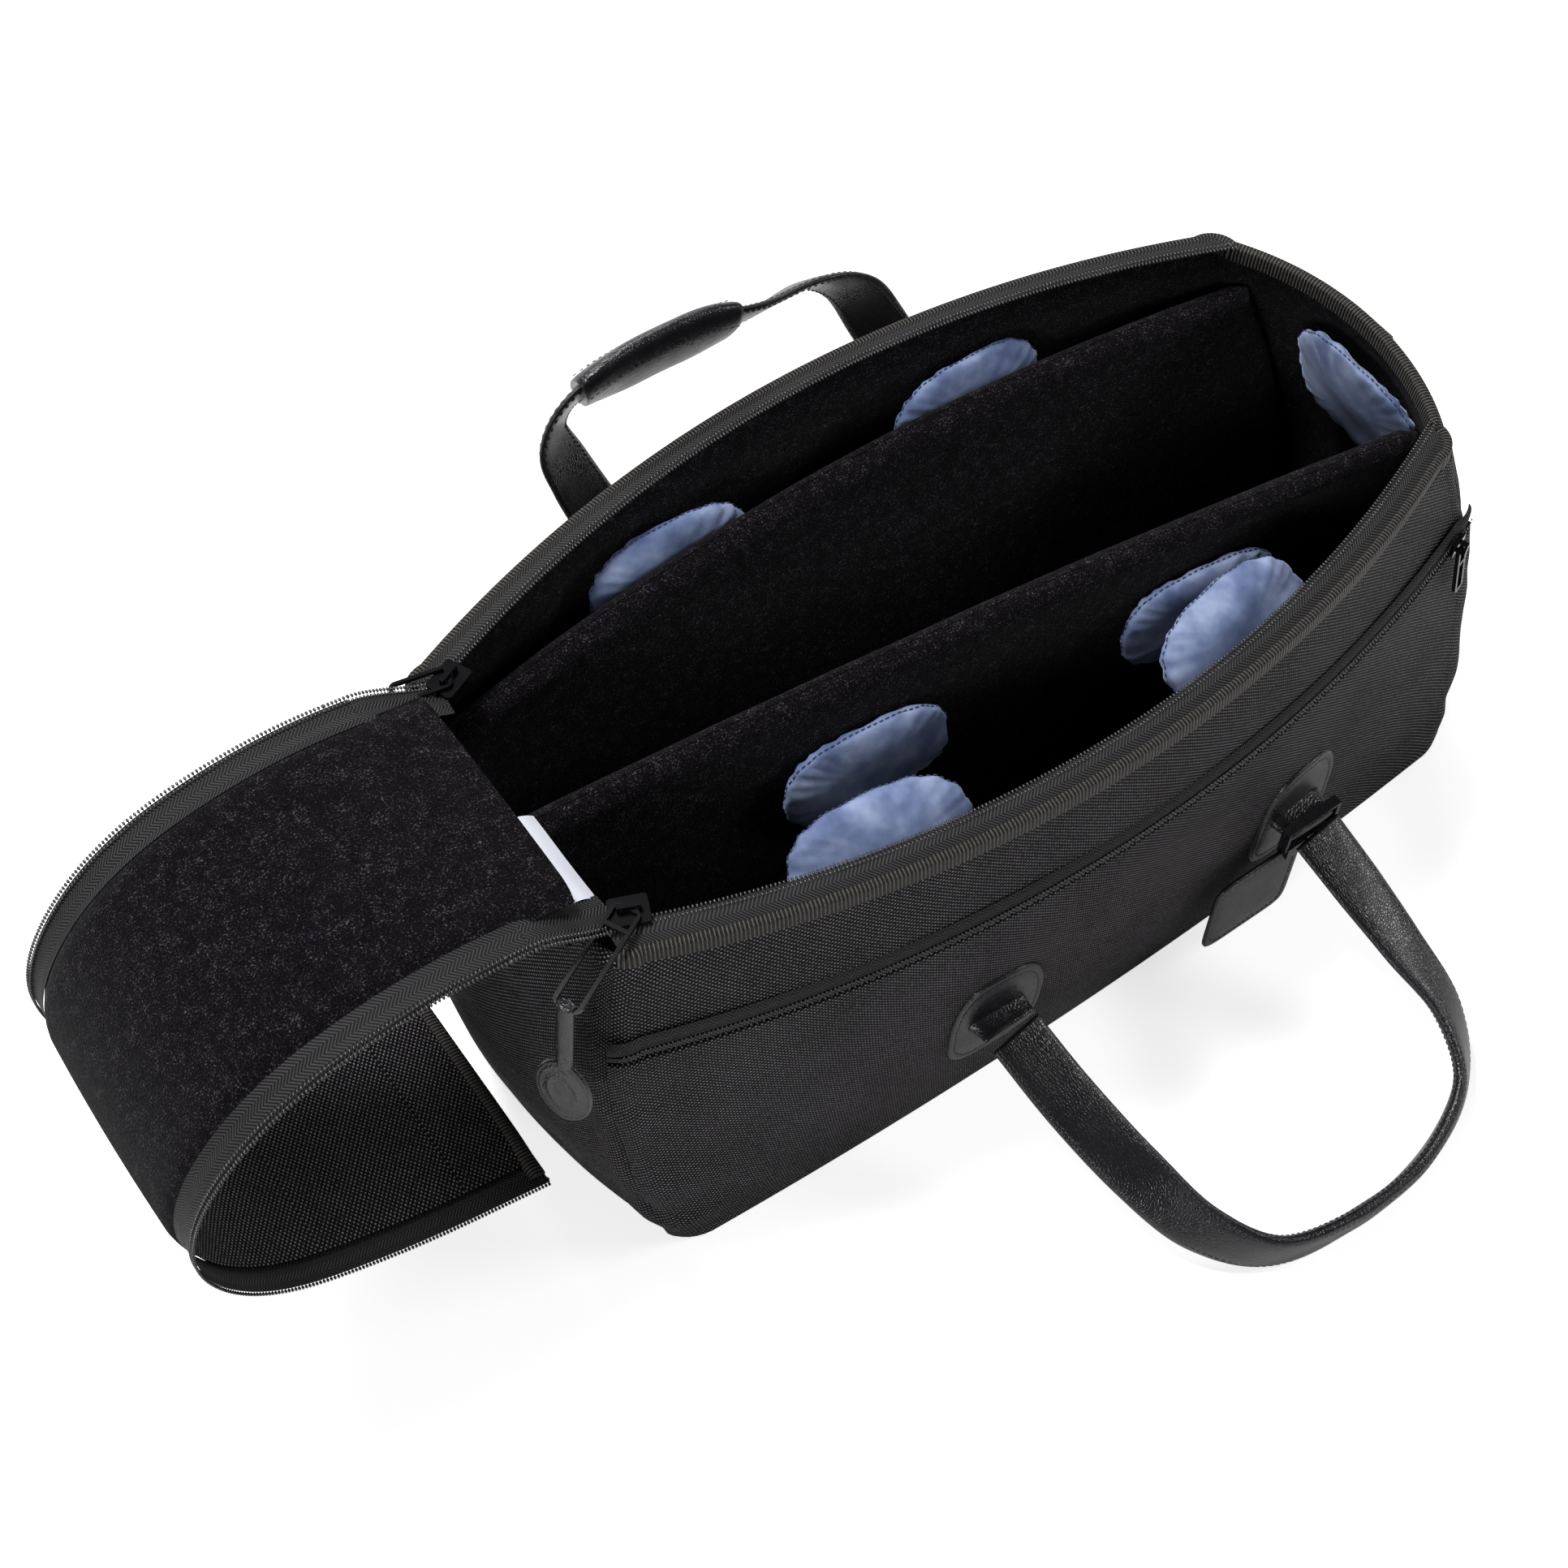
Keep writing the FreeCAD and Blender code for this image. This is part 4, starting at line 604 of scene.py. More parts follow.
def buildBinding():
    # Across the fold, the reach is a sine to a power, and both sides hang down from the top.
    path, out = rimLoop()
    wall, crown = planAt(1)["wall"], binding["crown"]
    turn = np.linspace(0, 1, binding["count"]) * 2 - 1
    reach = np.sign(turn) * np.abs(np.sin(turn * math.pi / 2)) ** 0.55
    drop = np.maximum(np.abs(turn) - 0.42, 0) / 0.58 * (binding["depth"] - crown)
    rise = crown * (1 - np.abs(reach)) ** 0.6
    rows = [raised(path - out * (wall / 2 - share * (wall / 2 + binding["grow"])), height)
            for share, height in zip(reach, binding["top"] - crown - drop + rise)]
    grid = np.array(rows).transpose(1, 0, 2)
    ends = [np.repeat(grid[k].mean(0)[None], grid.shape[1], axis=0)[None] for k in (0, -1)]
    grid = np.concatenate([ends[0], grid, ends[1]])
    dressed(gridPiece("rimBinding", grid, ribbed, flip=True), "bag", "rim_binding")


buildBinding()


# Zips: tapes along the rims, and rows of looped teeth along rims, pocket and lid

rimZip = {"middle": -20, "radius": 623.28, "centre": 490.28, "plane": 274.5, "left": -276,
          "right": 236, "pitch": 2.05, "tooth": (2.3, 1.1, 0.72)}


def toothTemplate(pitch, reach, height, radius):
    # One tooth of the coil: a head bead at the edge and, half a pitch along, a leg bead
    # behind it, both lying across the row.
    beads = []
    for along, start, end in ((0, 0.1, 1), (0.5, -1.15, -0.25)):
        rise = height * np.sin(np.linspace(0.15, 0.85, 5) * math.pi) - height * 0.4
        path = stacked(along * pitch, np.linspace(start, end, 5) * reach, rise)
        beads.append(tubeTemplate(path, radius))
    (first, faces), (second, _) = beads
    return np.concatenate([first, second]), np.concatenate([faces, faces + len(first)])


rimTooth = toothTemplate(rimZip["pitch"], *rimZip["tooth"])


def buildRimZips():
    # Teeth stand on an arc: middle + r sin a along the bag, r cos a - centre across it. The
    # tape runs from the wall's inner edge to the arc, arched a little.
    radius = rimZip["radius"] - 0.9
    low, high = (math.asin((rimZip[end] - rimZip["middle"]) / radius)
                 for end in ("left", "right"))
    angle = np.linspace(low, high, int(radius * (high - low) / rimZip["pitch"]))
    for hand, name in hands:
        place = stacked(rimZip["middle"] + radius * np.sin(angle),
                        hand * (radius * np.cos(angle) - rimZip["centre"]), rimZip["plane"])
        along = stacked(np.cos(angle), -hand * np.sin(angle), 0)
        across = stacked(-np.sin(angle), -hand * np.cos(angle), 0)
        obj = copiesPiece(name + "RimTeeth", *rimTooth, place, along, across, (0.0, 0.0, 1.0),
                          teethMat)
        dressed(obj, "bag", hand < 0 and "rim_zip_teeth")
        plan = sidePath("front", 1, planAt(1)["wall"] - 1.0, 200)[0]
        plan = plan * [1, -1] if hand > 0 else plan
        x = np.clip(plan[:, 0], rimZip["left"] - 3, rimZip["right"] + 3)
        reach = np.sqrt(rimZip["radius"] ** 2 - (x - rimZip["middle"]) ** 2)
        inner = stacked(x, hand * (reach - rimZip["centre"] - 1.6))
        rows = [raised(plan * (1 - part) + inner * part,
                       mixed((273.2, rimZip["plane"] + 0.3), part) + 0.9 * math.sin(part * math.pi))
                for part in np.linspace(0, 1, 9)]
        obj = gridPiece(name + "RimTape", np.array(rows).transpose(1, 0, 2), tape, flip=hand > 0)
        dressed(obj, "bag", hand < 0 and "rim_zip_tapes")


def buildPocketTeeth():
    # Two rows at even steps along the pocket's front, half a pitch apart.
    middle = pocket["top"] + pocket["tape"] / 2
    plan, out = sidePath("front", middle / shell["height"], -pocket["out"] - 0.1, 400)
    run = runLengths(plan)
    places = np.arange(6, run[-1] - 6, pocket["pitch"])
    spots = sampled(places, run, plan)
    outward = unit(raised(sampled(places, run, out), 0))
    along = stacked(-outward[:, 1], outward[:, 0], 0)
    template = toothTemplate(pocket["pitch"], *pocket["tooth"])
    for hand, name in ((-1, "Lower"), (1, "Upper")):
        place = raised(spots, middle + hand * pocket["teethApart"])
        place = place + along * (0 if hand < 0 else pocket["pitch"] / 2)
        obj = copiesPiece("pocketTeeth" + name, *template, place, along,
                          (0.0, 0.0, -float(hand)), outward, teethMat)
        dressed(obj, "bag", hand < 0 and "pocket_zip_teeth")


buildRimZips()
buildPocketTeeth()
print("rim and pocket zips ready")


# Lid: one smooth roll through the six hinged lengths, cut where each length is straight

lid = {"start": (-284, 290), "step": 86, "angles": (168, 192, 233, 284, 329, 342),
       "thick": 6.5, "half": 66, "zipHalf": 84, "notch": 30, "samples": 22, "crown": 1.5,
       "edge": 9, "tape": ((-1.5, 4.6), (0.5, 4.0), (6, 3.6), (11, 3.4), (15.4, 3.3)),
       "teeth": (80.8, 3.7)}


def lidSpans():
    # Spans of the roll, each (points, tangents, bodies, (start, end)): a straight first half
    # length, five bends between neighbouring middles, and a straight last half length.
    # A bend is a (1 - t)^2 + 2 b t (1 - t) + c t^2 with b at the hinge.
    pivots = [np.array(lid["start"], float)]
    for angle in np.radians(lid["angles"]):
        pivots.append(pivots[-1] + lid["step"] * np.array([math.cos(angle), math.sin(angle)]))
    middles = [(a + b) / 2 for a, b in zip(pivots, pivots[1:])]
    t = np.linspace(0, 1, lid["samples"])[:, None]

    def straight(a, b, body):
        return a + (b - a) * t, np.repeat(unit(b - a)[None], len(t), axis=0), (body,), (a, b)

    spans = [straight(pivots[0], middles[0], "lid_1")]
    for index in range(5):
        a, b, c = middles[index], pivots[index + 1], middles[index + 1]
        curve = a * (1 - t) ** 2 + 2 * b * t * (1 - t) + c * t ** 2
        tangent = unit((b - a) * (1 - t) + (c - b) * t)
        bodies = ("lid_%d" % (index + 1), "lid_%d" % (index + 2))
        spans.append((curve, tangent, bodies, (a, c)))
    return spans + [straight(middles[5], pivots[6], "lid_6")]


def plushSide(tangent):
    return stacked(tangent[:, 1], -tangent[:, 0])


def lidSurface(curve, plushWay, across, lift):
    # Points at distances across the roll, each lifted towards the plush side.
    x = curve[:, None, 0] + plushWay[:, None, 0] * lift[None]
    z = curve[:, None, 1] + plushWay[:, None, 1] * lift[None]
    return stacked(x, across, z)


def buildLid():
    # Plush side: a flat crown falling over its edges by a root. Cloth side: nearly flat.
    phase = 0.0
    half = lid["half"]
    across = np.concatenate([[-half - 1.5, -half - 1], np.linspace(-half, half, 41),
                             [half + 1, half + 1.5]])
    edge = np.clip(1 - (np.abs(across) - half + lid["edge"]) / lid["edge"], 0, 1)
    lift = lid["thick"] * (0.42 + 0.58 * np.sqrt(edge))
    lift = lift + lid["crown"] * (1 - (across / half) ** 2).clip(0, 1)
    under = 2.2 - 2.0 * (1 - (np.abs(across) / (half + 1.5)) ** 6)
    offset, rise = np.array(lid["tape"]).T
    teethHalf, teethLift = lid["teeth"]
    for number, (curve, tangent, bodies, span) in enumerate(lidSpans(), 1):
        plushWay = plushSide(tangent)
        own = number <= 6

        grid = lidSurface(curve, plushWay, across, lift)
        dressed(gridPiece("lidPlush%d" % number, grid, plush, flip=True), bodies,
                own and "lid_panel_%d" % number, span=span)
        grid = lidSurface(curve, plushWay, across, under)
        dressed(gridPiece("lidCloth%d" % number, grid, cloth), bodies, span=span)
        run = runLengths(curve)
        zipStart = lid["notch"] if number == 1 else 0
        keep = run >= zipStart - 0.1
        places = np.arange(max(zipStart, phase), run[-1], rimZip["pitch"])
        spots = sampled(places, run, np.hstack([curve, plushWay]))
        up = unit(stacked(spots[:, 2], 0, spots[:, 3]))
        along = stacked(-up[:, 2], 0, up[:, 0])
        for hand, name in ((-1, "Front"), (1, "Rear")):
            grid = lidSurface(curve[keep], plushWay[keep], hand * (half + offset), rise)
            dressed(gridPiece("lidTape%d%s" % (number, name), grid, tape, flip=hand > 0),
                    bodies, hand < 0 and own and "lid_zip_%d" % number, span=span)
            spot = stacked(spots[:, 0], hand * teethHalf, spots[:, 1]) + up * teethLift
            dressed(copiesPiece("lidTeeth%d%s" % (number, name), *rimTooth, spot, along,
                                (0, hand, 0), up, teethMat), bodies, span=span)
        phase = (phase - run[-1]) % rimZip["pitch"]


def buildLidEnd():
    # Bound free end of the lid: a ribbed roll round its last edge.
    curve, tangent = lidSpans()[-1][:2]
    tip, way, out = curve[-1], tangent[-1], plushSide(tangent)[-1]
    y = np.linspace(-lid["half"] - 10, lid["half"] + 10, 40)
    path = stacked(tip[0] + out[0] * 3.2, y, tip[1] + out[1] * 3.2)
    section = flatSection(9, 7.4, 16, 3) - [4.2, 0]
    dressed(sweepPiece("lidEndBinding", path, (way[0], 0, way[1]), (out[0], 0, out[1]), section,
                       ribbed), "lid_6")


link = {"slider": (-268.0, 80.4, 0.4), "leave": (-15.0, 2.0, 3.0), "meet": 14,
        "tape": (1.2, 6, 11, 15, 19.5)}


def buildLidLinks():
    # Tape and teeth from each rim slider up to the start of the lid's own: a cubic that
    # leaves the slider level and meets the lid along its first length, turning its face over.
    curve, tangent = lidSpans()[0][:2]
    tip = sampled([lid["notch"] + 1], runLengths(curve), curve)[0]
    way, face = tangent[0], plushSide(tangent)[0]
    t = np.linspace(0, 1, 26)[:, None]
    teethHalf, teethLift = lid["teeth"]
    for hand, name in hands:
        x, y, z = link["slider"]
        a = np.array([x, hand * y, rimZip["plane"] + z])
        d = np.array([tip[0] + face[0] * teethLift, hand * teethHalf,
                      tip[1] + face[1] * teethLift])
        b = a + link["leave"] * np.array([1, hand, 1])
        c = d - np.array([way[0], 0, way[1]]) * link["meet"]
        path = a * (1 - t) ** 3 + 3 * b * t * (1 - t) ** 2 + 3 * c * t * t * (1 - t) + d * t ** 3
        along = unit(np.gradient(path, axis=0))
        side = np.tile([0.0, float(hand), 0.0], (len(path), 1))
        side = unit(side - along * np.sum(side * along, axis=1)[:, None])
        up = unit(np.cross(along, side) * hand)
        up = up * np.sign(up[:, 2:])
        run = runLengths(path)
        places = np.arange(0, run[-1], rimZip["pitch"])
        ways = [unit(sampled(places, run, values)) for values in (along, side, up)]
        span = (a[0], a[2]), (d[0], d[2])
        obj = copiesPiece(name + "LinkTeeth", *rimTooth, sampled(places, run, path), *ways,
                          teethMat)
        dressed(obj, ("bag", "lid_1"), span=span)
        rows = [path - side * width + up * 0.2 for width in link["tape"]]
        obj = gridPiece(name + "LinkTape", np.array(rows).transpose(1, 0, 2), tape,
                        flip=hand < 0)
        dressed(obj, ("bag", "lid_1"), span=span)


buildLid()
buildLidEnd()
buildLidLinks()


# Hinge web: cloth from the top of the left wall up to the first length of the lid

web = {"half": 74, "low": 270, "fallFrom": 56, "fallOver": 14,
       "outline": ((-293.5, 264), (-293.7, 276), (-292.9, 287.2), (-290.9, 289.2),
                   (-287.7, 289.2), (-285.5, 286.8), (-285.4, 274), (-285.5, 264))}
label = {"left": -285.0, "depth": 15, "top": 281.6, "drop": 8.6, "arch": 2.2}


def buildWeb():
    # The outline carried across the hinge, lower towards its ends, a cap over the left
    # wall's top that joins cloth to lining, and the label, arched and a little wavy.
    y = np.linspace(-web["half"], web["half"], 40)
    fall = np.clip((np.abs(y) - web["fallFrom"]) / web["fallOver"], 0, 1) ** 1.5
    rows = [stacked(x, y, z - fall * max(0, z - web["low"] - 1)) for x, z in web["outline"]]
    dressed(gridPiece("hingeWeb", rows, cloth, flip=True), "bag", "lid_hinge_web")
    top = (skin["top"], 0.985)
    outer = sidePath("left", top[0], 0, 60)[0]
    inner = sidePath("left", top[1], planAt(top[1])["wall"], 60)[0]
    rows = [raised(outer * (1 - part) + inner * part,
                   mixed(top, part) * shell["height"] + 5 * math.sin(part * math.pi) - 0.6)
            for part in np.linspace(0, 1, 9)]
    dressed(gridPiece("leftWallTop", rows, cloth), "bag")
    y = np.linspace(-62, -8, 20)
    rows = [stacked(label["left"] + label["depth"] * part, y,
                    label["top"] - label["drop"] * part + label["arch"] * math.sin(part * math.pi)
                    + 0.5 * np.sin(y / 9 + part * 3))
            for part in np.linspace(0, 1, 14)]
    dressed(gridPiece("careLabel", rows, satin), "bag", "care_label")


buildWeb()
print("lid and hinge ready")


# Dividers: padded plush sheets with rounded crests, leaning between the floor and the rim

divider = {"thick": 16, "height": 245, "foot": 44, "footHeight": 8.2, "gap": 3, "crest": 8,
           "rear": (72, 98, 70), "front": (8, -20, -62)}


def endReach(share, y, side):
    # Distance of the bowed left or right end from the middle, at a place across it.
    plan = planAt(share)
    chord = plan["half"] - plan["corner"]
    bow = plan[side + "Bow"]
    arc = arcRadius(chord, bow)
    return plan[side] + bow - arc + np.sqrt(arc ** 2 - np.minimum(np.abs(y), chord) ** 2)


def buildDivider(name, foot, tops, node, seed):
    # A parabola through three places, from end wall to end wall, thickened both ways.
    straight = divider["height"] - divider["crest"]
    levels = np.concatenate([np.linspace(divider["footHeight"], straight, 26),
                             np.full(9, straight)])
    cap = np.concatenate([np.zeros(26), np.linspace(0, math.pi / 2, 10)[1:]])
    t = np.linspace(0, 1, 90)
    ends = np.maximum(np.abs(t * 2 - 1) - 0.985, 0)
    rounding = np.sqrt(np.clip(1 - ends ** 2 / 0.015 ** 2, 0.02, 1))
    rows = []
    for height, turn in zip(levels, cap):
        z = height + divider["crest"] * math.sin(turn)
        share = z / shell["height"]
        lean = (z - divider["footHeight"]) / (divider["height"] - divider["footHeight"])
        ys = [foot * (1 - lean) + top * lean for top in tops]
        inset = planAt(share)["wall"] + divider["gap"]
        left = -endReach(share, ys[0], "left") + inset
        right = endReach(share, ys[2], "right") - inset
        y = ys[0] * (1 - t) * (1 - 2 * t) + ys[1] * 4 * t * (1 - t) + ys[2] * t * (2 * t - 1)
        flat = stacked(left + (right - left) * t, y, z)
        depth = divider["thick"] * max(math.cos(turn), 0.02) / 2
        proud = np.outer(depth * rounding * (1 + 0.05 * softNoise(seed, flat, 80)), [0, 1, 0])
        rows.append(np.concatenate([flat - proud, (flat + proud)[::-1]]))
    dressed(gridPiece(name, rows, plush, wrap=True), "bag", node)


buildDivider("rearDivider", divider["foot"], divider["rear"], "rear_divider", 21)
buildDivider("frontDivider", -divider["foot"], divider["front"], "front_divider", 22)


# Handles: leather straps on the solids' routes, with sewn edges and a padded grip

strap = {"spread": 212, "centre": 16, "rootHeight": 92, "width": 33, "thick": 5,
         "frontRoot": -164.25, "rearRoot": 160.85, "frontReach": 184, "frontDrop": 82,
         "rearReach": 194, "rearLean": 30, "stitchPitch": 3.6, "stitchInset": 3.0}
# Stations of each handle: share along the spread, share of the reach, turn, and thickness
frontRoute = ((-0.5, 0, 0, 5), (-0.47, 0.25, 0.03, 5), (-0.42, 0.52, 0.15, 6),
              (-0.35, 0.76, 0.42, 7.5), (-0.21, 0.94, 0.7, 8.5), (0.02, 1, 0.8, 9),
              (0.26, 0.985, 0.8, 9), (0.47, 0.87, 0.66, 8.5), (0.555, 0.66, 0.36, 8),
              (0.54, 0.42, 0.12, 7), (0.52, 0.2, 0.03, 5.5), (0.5, 0, 0, 5))
rearRoute = ((-0.5, 0, 0, 5), (-0.56, 0.26, 0.04, 5), (-0.63, 0.52, 0.13, 5),
             (-0.69, 0.75, 0.27, 5), (-0.715, 0.895, 0.42, 5), (-0.64, 0.985, 0.44, 5),
             (-0.48, 1, 0.3, 5), (-0.28, 0.99, 0.3, 5), (-0.1, 0.96, 0.5, 5),
             (0.07, 0.955, 0.6, 5), (0.19, 0.87, 0.45, 5), (0.265, 0.7, 0.2, 5),
             (0.35, 0.47, 0.08, 5), (0.43, 0.23, 0.02, 5), (0.5, 0, 0, 5))
grip = {"from": -0.63, "to": -0.17, "above": 250, "width": 46, "thick": 16,
        "stitches": ((11, 7.5), (11, -7.5), (-21.5, 1.5))}


def strapFrame(route, root, reachWay, reach):
    # Centre line, width and face directions and thickness of a strap on its own leaning
    # plane, its turns smoothed by a running mean.
    route = np.array(route, float)
    normal = np.cross([1.0, 0, 0], reachWay)
    stations = (np.array(root) + route[:, :1] * strap["spread"] * np.array([1, 0, 0])
                + reachWay * route[:, 1:2] * reach)
    path = smoothPath(stations, 260)
    part, stationPart = (run / run[-1] for run in (runLengths(path), runLengths(stations)))
    angle = np.interp(part, stationPart, route[:, 2]) * math.pi / 2
    kernel = np.hanning(13)
    angle = np.convolve(np.pad(angle, 6, mode="edge"), kernel / kernel.sum(), mode="valid")
    tangent = unit(np.gradient(path, axis=0))
    wide = (np.cross(normal, tangent) * np.cos(angle)[:, None]
            + normal * np.sin(angle)[:, None])
    return path, wide, np.cross(tangent, wide), part, np.interp(part, stationPart, route[:, 3])


def stitchRow(name, path, thin, body, wide=None, across=0, through=0, material=thread):
    # Row of sewing along a path: short thread capsules, standing proud the thin way.
    tangent = unit(np.gradient(path, axis=0))
    thin = np.broadcast_to(thin, path.shape)
    wide = np.cross(thin, tangent) if wide is None else wide
    run = runLengths(path)
    places = np.arange(2, run[-1] - 2, strap["stitchPitch"])
    t, w, n = (unit(sampled(places, run, way)) for way in (tangent, wide, thin))
    width, depth = (np.interp(places, run, np.broadcast_to(value, len(path)))[:, None]
                    for value in (across, through))
    template, faces = tubeTemplate([[-1.25, 0, -0.25], [-0.7, 0, 0.1], [0, 0, 0.16],
                                    [0.7, 0, 0.1], [1.25, 0, -0.25]], 0.34, 5)
    spots = sampled(places, run, path) + w * width + n * depth
    dressed(copiesPiece(name, template, faces, spots, t, w, n, material), body)


def buildGrip(path, wide, thin, part):
    # Wrap round the strap's top run, drawn in at both ends.
    x = (path[:, 0] - strap["centre"]) / strap["spread"]
    keep = (x > grip["from"]) & (x < grip["to"]) & (part < 0.6) & (path[:, 2] > grip["above"])
    path, wide, thin = path[keep], wide[keep], thin[keep]
    ends = np.minimum(np.arange(len(path)), np.arange(len(path))[::-1]) / 6
    bulge = 0.88 + 0.12 * np.sqrt(np.clip(ends, 0, 1))
    section = sectionRow(grip["width"] * bulge,
                         grip["thick"] * bulge + 0.3 * softNoise(91, path, 20), 40, 2.4)
    obj = sweepPiece("gripLeather", path, wide, thin, section, leather)
    dressed(obj, "rear_strap", "rear_handle_grip")
    for name, (across, depth) in zip("ABC", grip["stitches"]):
        stitchRow("gripStitch" + name, path, thin, "rear_strap", wide, across, depth)


def buildStraps():
    # Each handle leans from its roots; a thicker stretch is narrower, and both sides of
    # both faces are sewn.
    run = math.sqrt(strap["frontReach"] ** 2 - strap["frontDrop"] ** 2)
    rise = math.sqrt(strap["rearReach"] ** 2 - strap["rearLean"] ** 2)
    for name, route, way in (("front", frontRoute, (0, -run, -strap["frontDrop"])),
                             ("rear", rearRoute, (0, strap["rearLean"], rise))):
        path, wide, thin, part, thick = strapFrame(
            route, (strap["centre"], strap[name + "Root"], strap["rootHeight"]),
            unit(np.array(way)), strap[name + "Reach"])
        width = strap["width"] - (thick - strap["thick"]) * 1.4
        section = sectionRow(width, thick + 0.35 * softNoise(60 + len(name), path, 34), 32, 3.2)
        obj = sweepPiece(name + "HandleLeather", path, wide, thin, section, leather)
        dressed(obj, name + "_strap", name + "_handle")
        for side, sideName in pairs:
            for face, faceName in pairs:
                stitchRow("%sStitch%s%s" % (name, sideName, faceName), path, thin,
                          name + "_strap", wide, side * (width / 2 - strap["stitchInset"]),
                          face * (thick / 2 * 0.78))
        if name == "rear":
            buildGrip(path, wide, thin, part)


# Each ring of a patch: its share of the outline and its share of the thickness
patch = {"width": 58, "height": 84, "thick": 3, "around": 72, "seam": 0.88,
         "rings": ((0, 1), (0.3, 1), (0.6, 1), (0.84, 1), (0.88, 0.78), (0.92, 1),
                   (0.97, 0.97), (1.0, 0.72), (1.0, 0.0)),
         "tabs": {-1: strap["frontRoot"] + 4, 1: strap["rearRoot"] - 6.5}}


def wallFrame(x, z, hand, lift):
    # Point on the front or rear cloth and its outward way, from the wall's own slopes.
    share = z / shell["height"]
    dx = (sideReach(share, x + 1) - sideReach(share, x - 1)) / 2
    dz = (sideReach(share + 0.004, x) - sideReach(share - 0.004, x)) / (0.008 * shell["height"])
    out = unit(stacked(-dx, 1, -dz))
    point = stacked(x, sideReach(share, x), z) + out * lift
    return point * [1, hand, 1], out * [1, hand, 1]


def patchOutline(count):
    # Arched above, squarer below: x = w/2 |cos|^p, z = h/2 |sin|^p, p larger in the upper half.
    angle = np.linspace(0, tau, count, endpoint=False)
    power = np.where(np.sin(angle) > 0, 0.95, 0.5)
    return (curved(np.cos(angle), 0.62) * patch["width"] / 2,
            curved(np.sin(angle), power) * patch["height"] / 2)


def buildPatches():
    # Rings of the outline laid on the wall, a seam round each, and a tab out to the strap.
    high = strap["rootHeight"]
    for hand, name in hands:
        under = pocket["out"] if hand < 0 else 0.2
        for side, letter in pairs:
            x0 = strap["centre"] + side * strap["spread"] / 2
            piece = name + "Patch" + letter
            ox, oz = patchOutline(patch["around"])
            rows = [wallFrame(x0 + ox * radius, high + oz * radius, hand,
                              under + patch["thick"] * lift * 0.85)[0]
                    for radius, lift in patch["rings"]]
            dressed(gridPiece(piece, rows, leather, wrap=True, flip=hand > 0), "bag",
                    name + "_handle_patches")
            ox, oz = patchOutline(60)
            ring, out = wallFrame(x0 + ox * patch["seam"], high + oz * patch["seam"], hand,
                                  under + patch["thick"] * 0.72)
            stitchRow(piece + "Stitch", looped(ring), looped(out), "bag")
            inner = hand * (float(sideReach(high / shell["height"], x0)) + under)
            y = np.linspace(inner, patch["tabs"][hand], 8)
            flare = 6 * np.linspace(1, 0, 8) ** 2
            dressed(sweepPiece(piece + "Tab", stacked(x0, y, high), (1, 0, 0), (0, 0, 1),
                               sectionRow(33 + flare, 5.8 + flare, 32, 3.2), leather), "bag")


buildStraps()
buildPatches()


# Velvet pads: pillows with a gathered seam, placed where the solids' pads are

padLook = {"rows": 26, "columns": 44, "gather": 1.7, "wrinkle": 1.6, "grow": (1.04, 1.12, 0.98)}


def padPiece(name, centre, ways, size, node, seed):
    # Pillow: two domes over a rounded outline, wrinkled by waves that fade from its seam.
    along, up, out = ways
    length, height, thick = size
    rows = padLook["rows"]
    angle = np.linspace(0, tau, padLook["columns"] * 2, endpoint=False)
    outline = stacked(curved(np.cos(angle), 0.72), curved(np.sin(angle), 0.78))
    outline = outline * (1 + 0.012 * np.sin(angle * 17 + seed)[:, None])
    radii = np.sin(np.linspace(0, math.pi / 2, rows))
    grid = []
    for side, radius in [(-1, r) for r in radii] + [(1, r) for r in radii[::-1]]:
        dome = math.sqrt(max(0, 1 - radius ** 2.6))
        flat = outline * (radius - 0.028 * radius ** 40)
        folds = np.sin(angle * 23 + seed * 1.7 + 2 * np.sin(angle * 3)) * radius ** 6
        broad = (np.sin(flat[:, 0] * 5.1 + flat[:, 1] * 3.0 + seed)
                 + np.sin(flat[:, 0] * 2.3 - flat[:, 1] * 6.4 + seed * 2.1))
        rise = thick / 2 * dome + side * padLook["wrinkle"] * 0.35 * broad * (dome > 0)
        rise = rise + padLook["gather"] * folds * (0.15 + dome)
        grid.append(centre + flat[:, :1] * length / 2 * along + flat[:, 1:] * height / 2 * up
                    + side * rise[:, None] * out)
    obj = gridPiece(name, grid, velvet, wrap=True)
    dressed(obj, "bag", node)
    ring = looped((grid[rows - 1] + grid[rows]) / 2)
    outward = unit(np.cross(unit(np.gradient(ring, axis=0)), out))
    outward = outward * np.sign(np.sum(outward * (ring - centre), axis=1))[:, None]
    stitchRow(name + "Seam", ring, outward, "bag", through=0.5, material=velvetThread)


def padShape(points):
    # Middle of a pad and its three main directions, widest first.
    axes = np.linalg.svd(points - points.mean(0), full_matrices=False)[2]
    return (points.max(0) + points.min(0)) / 2, axes


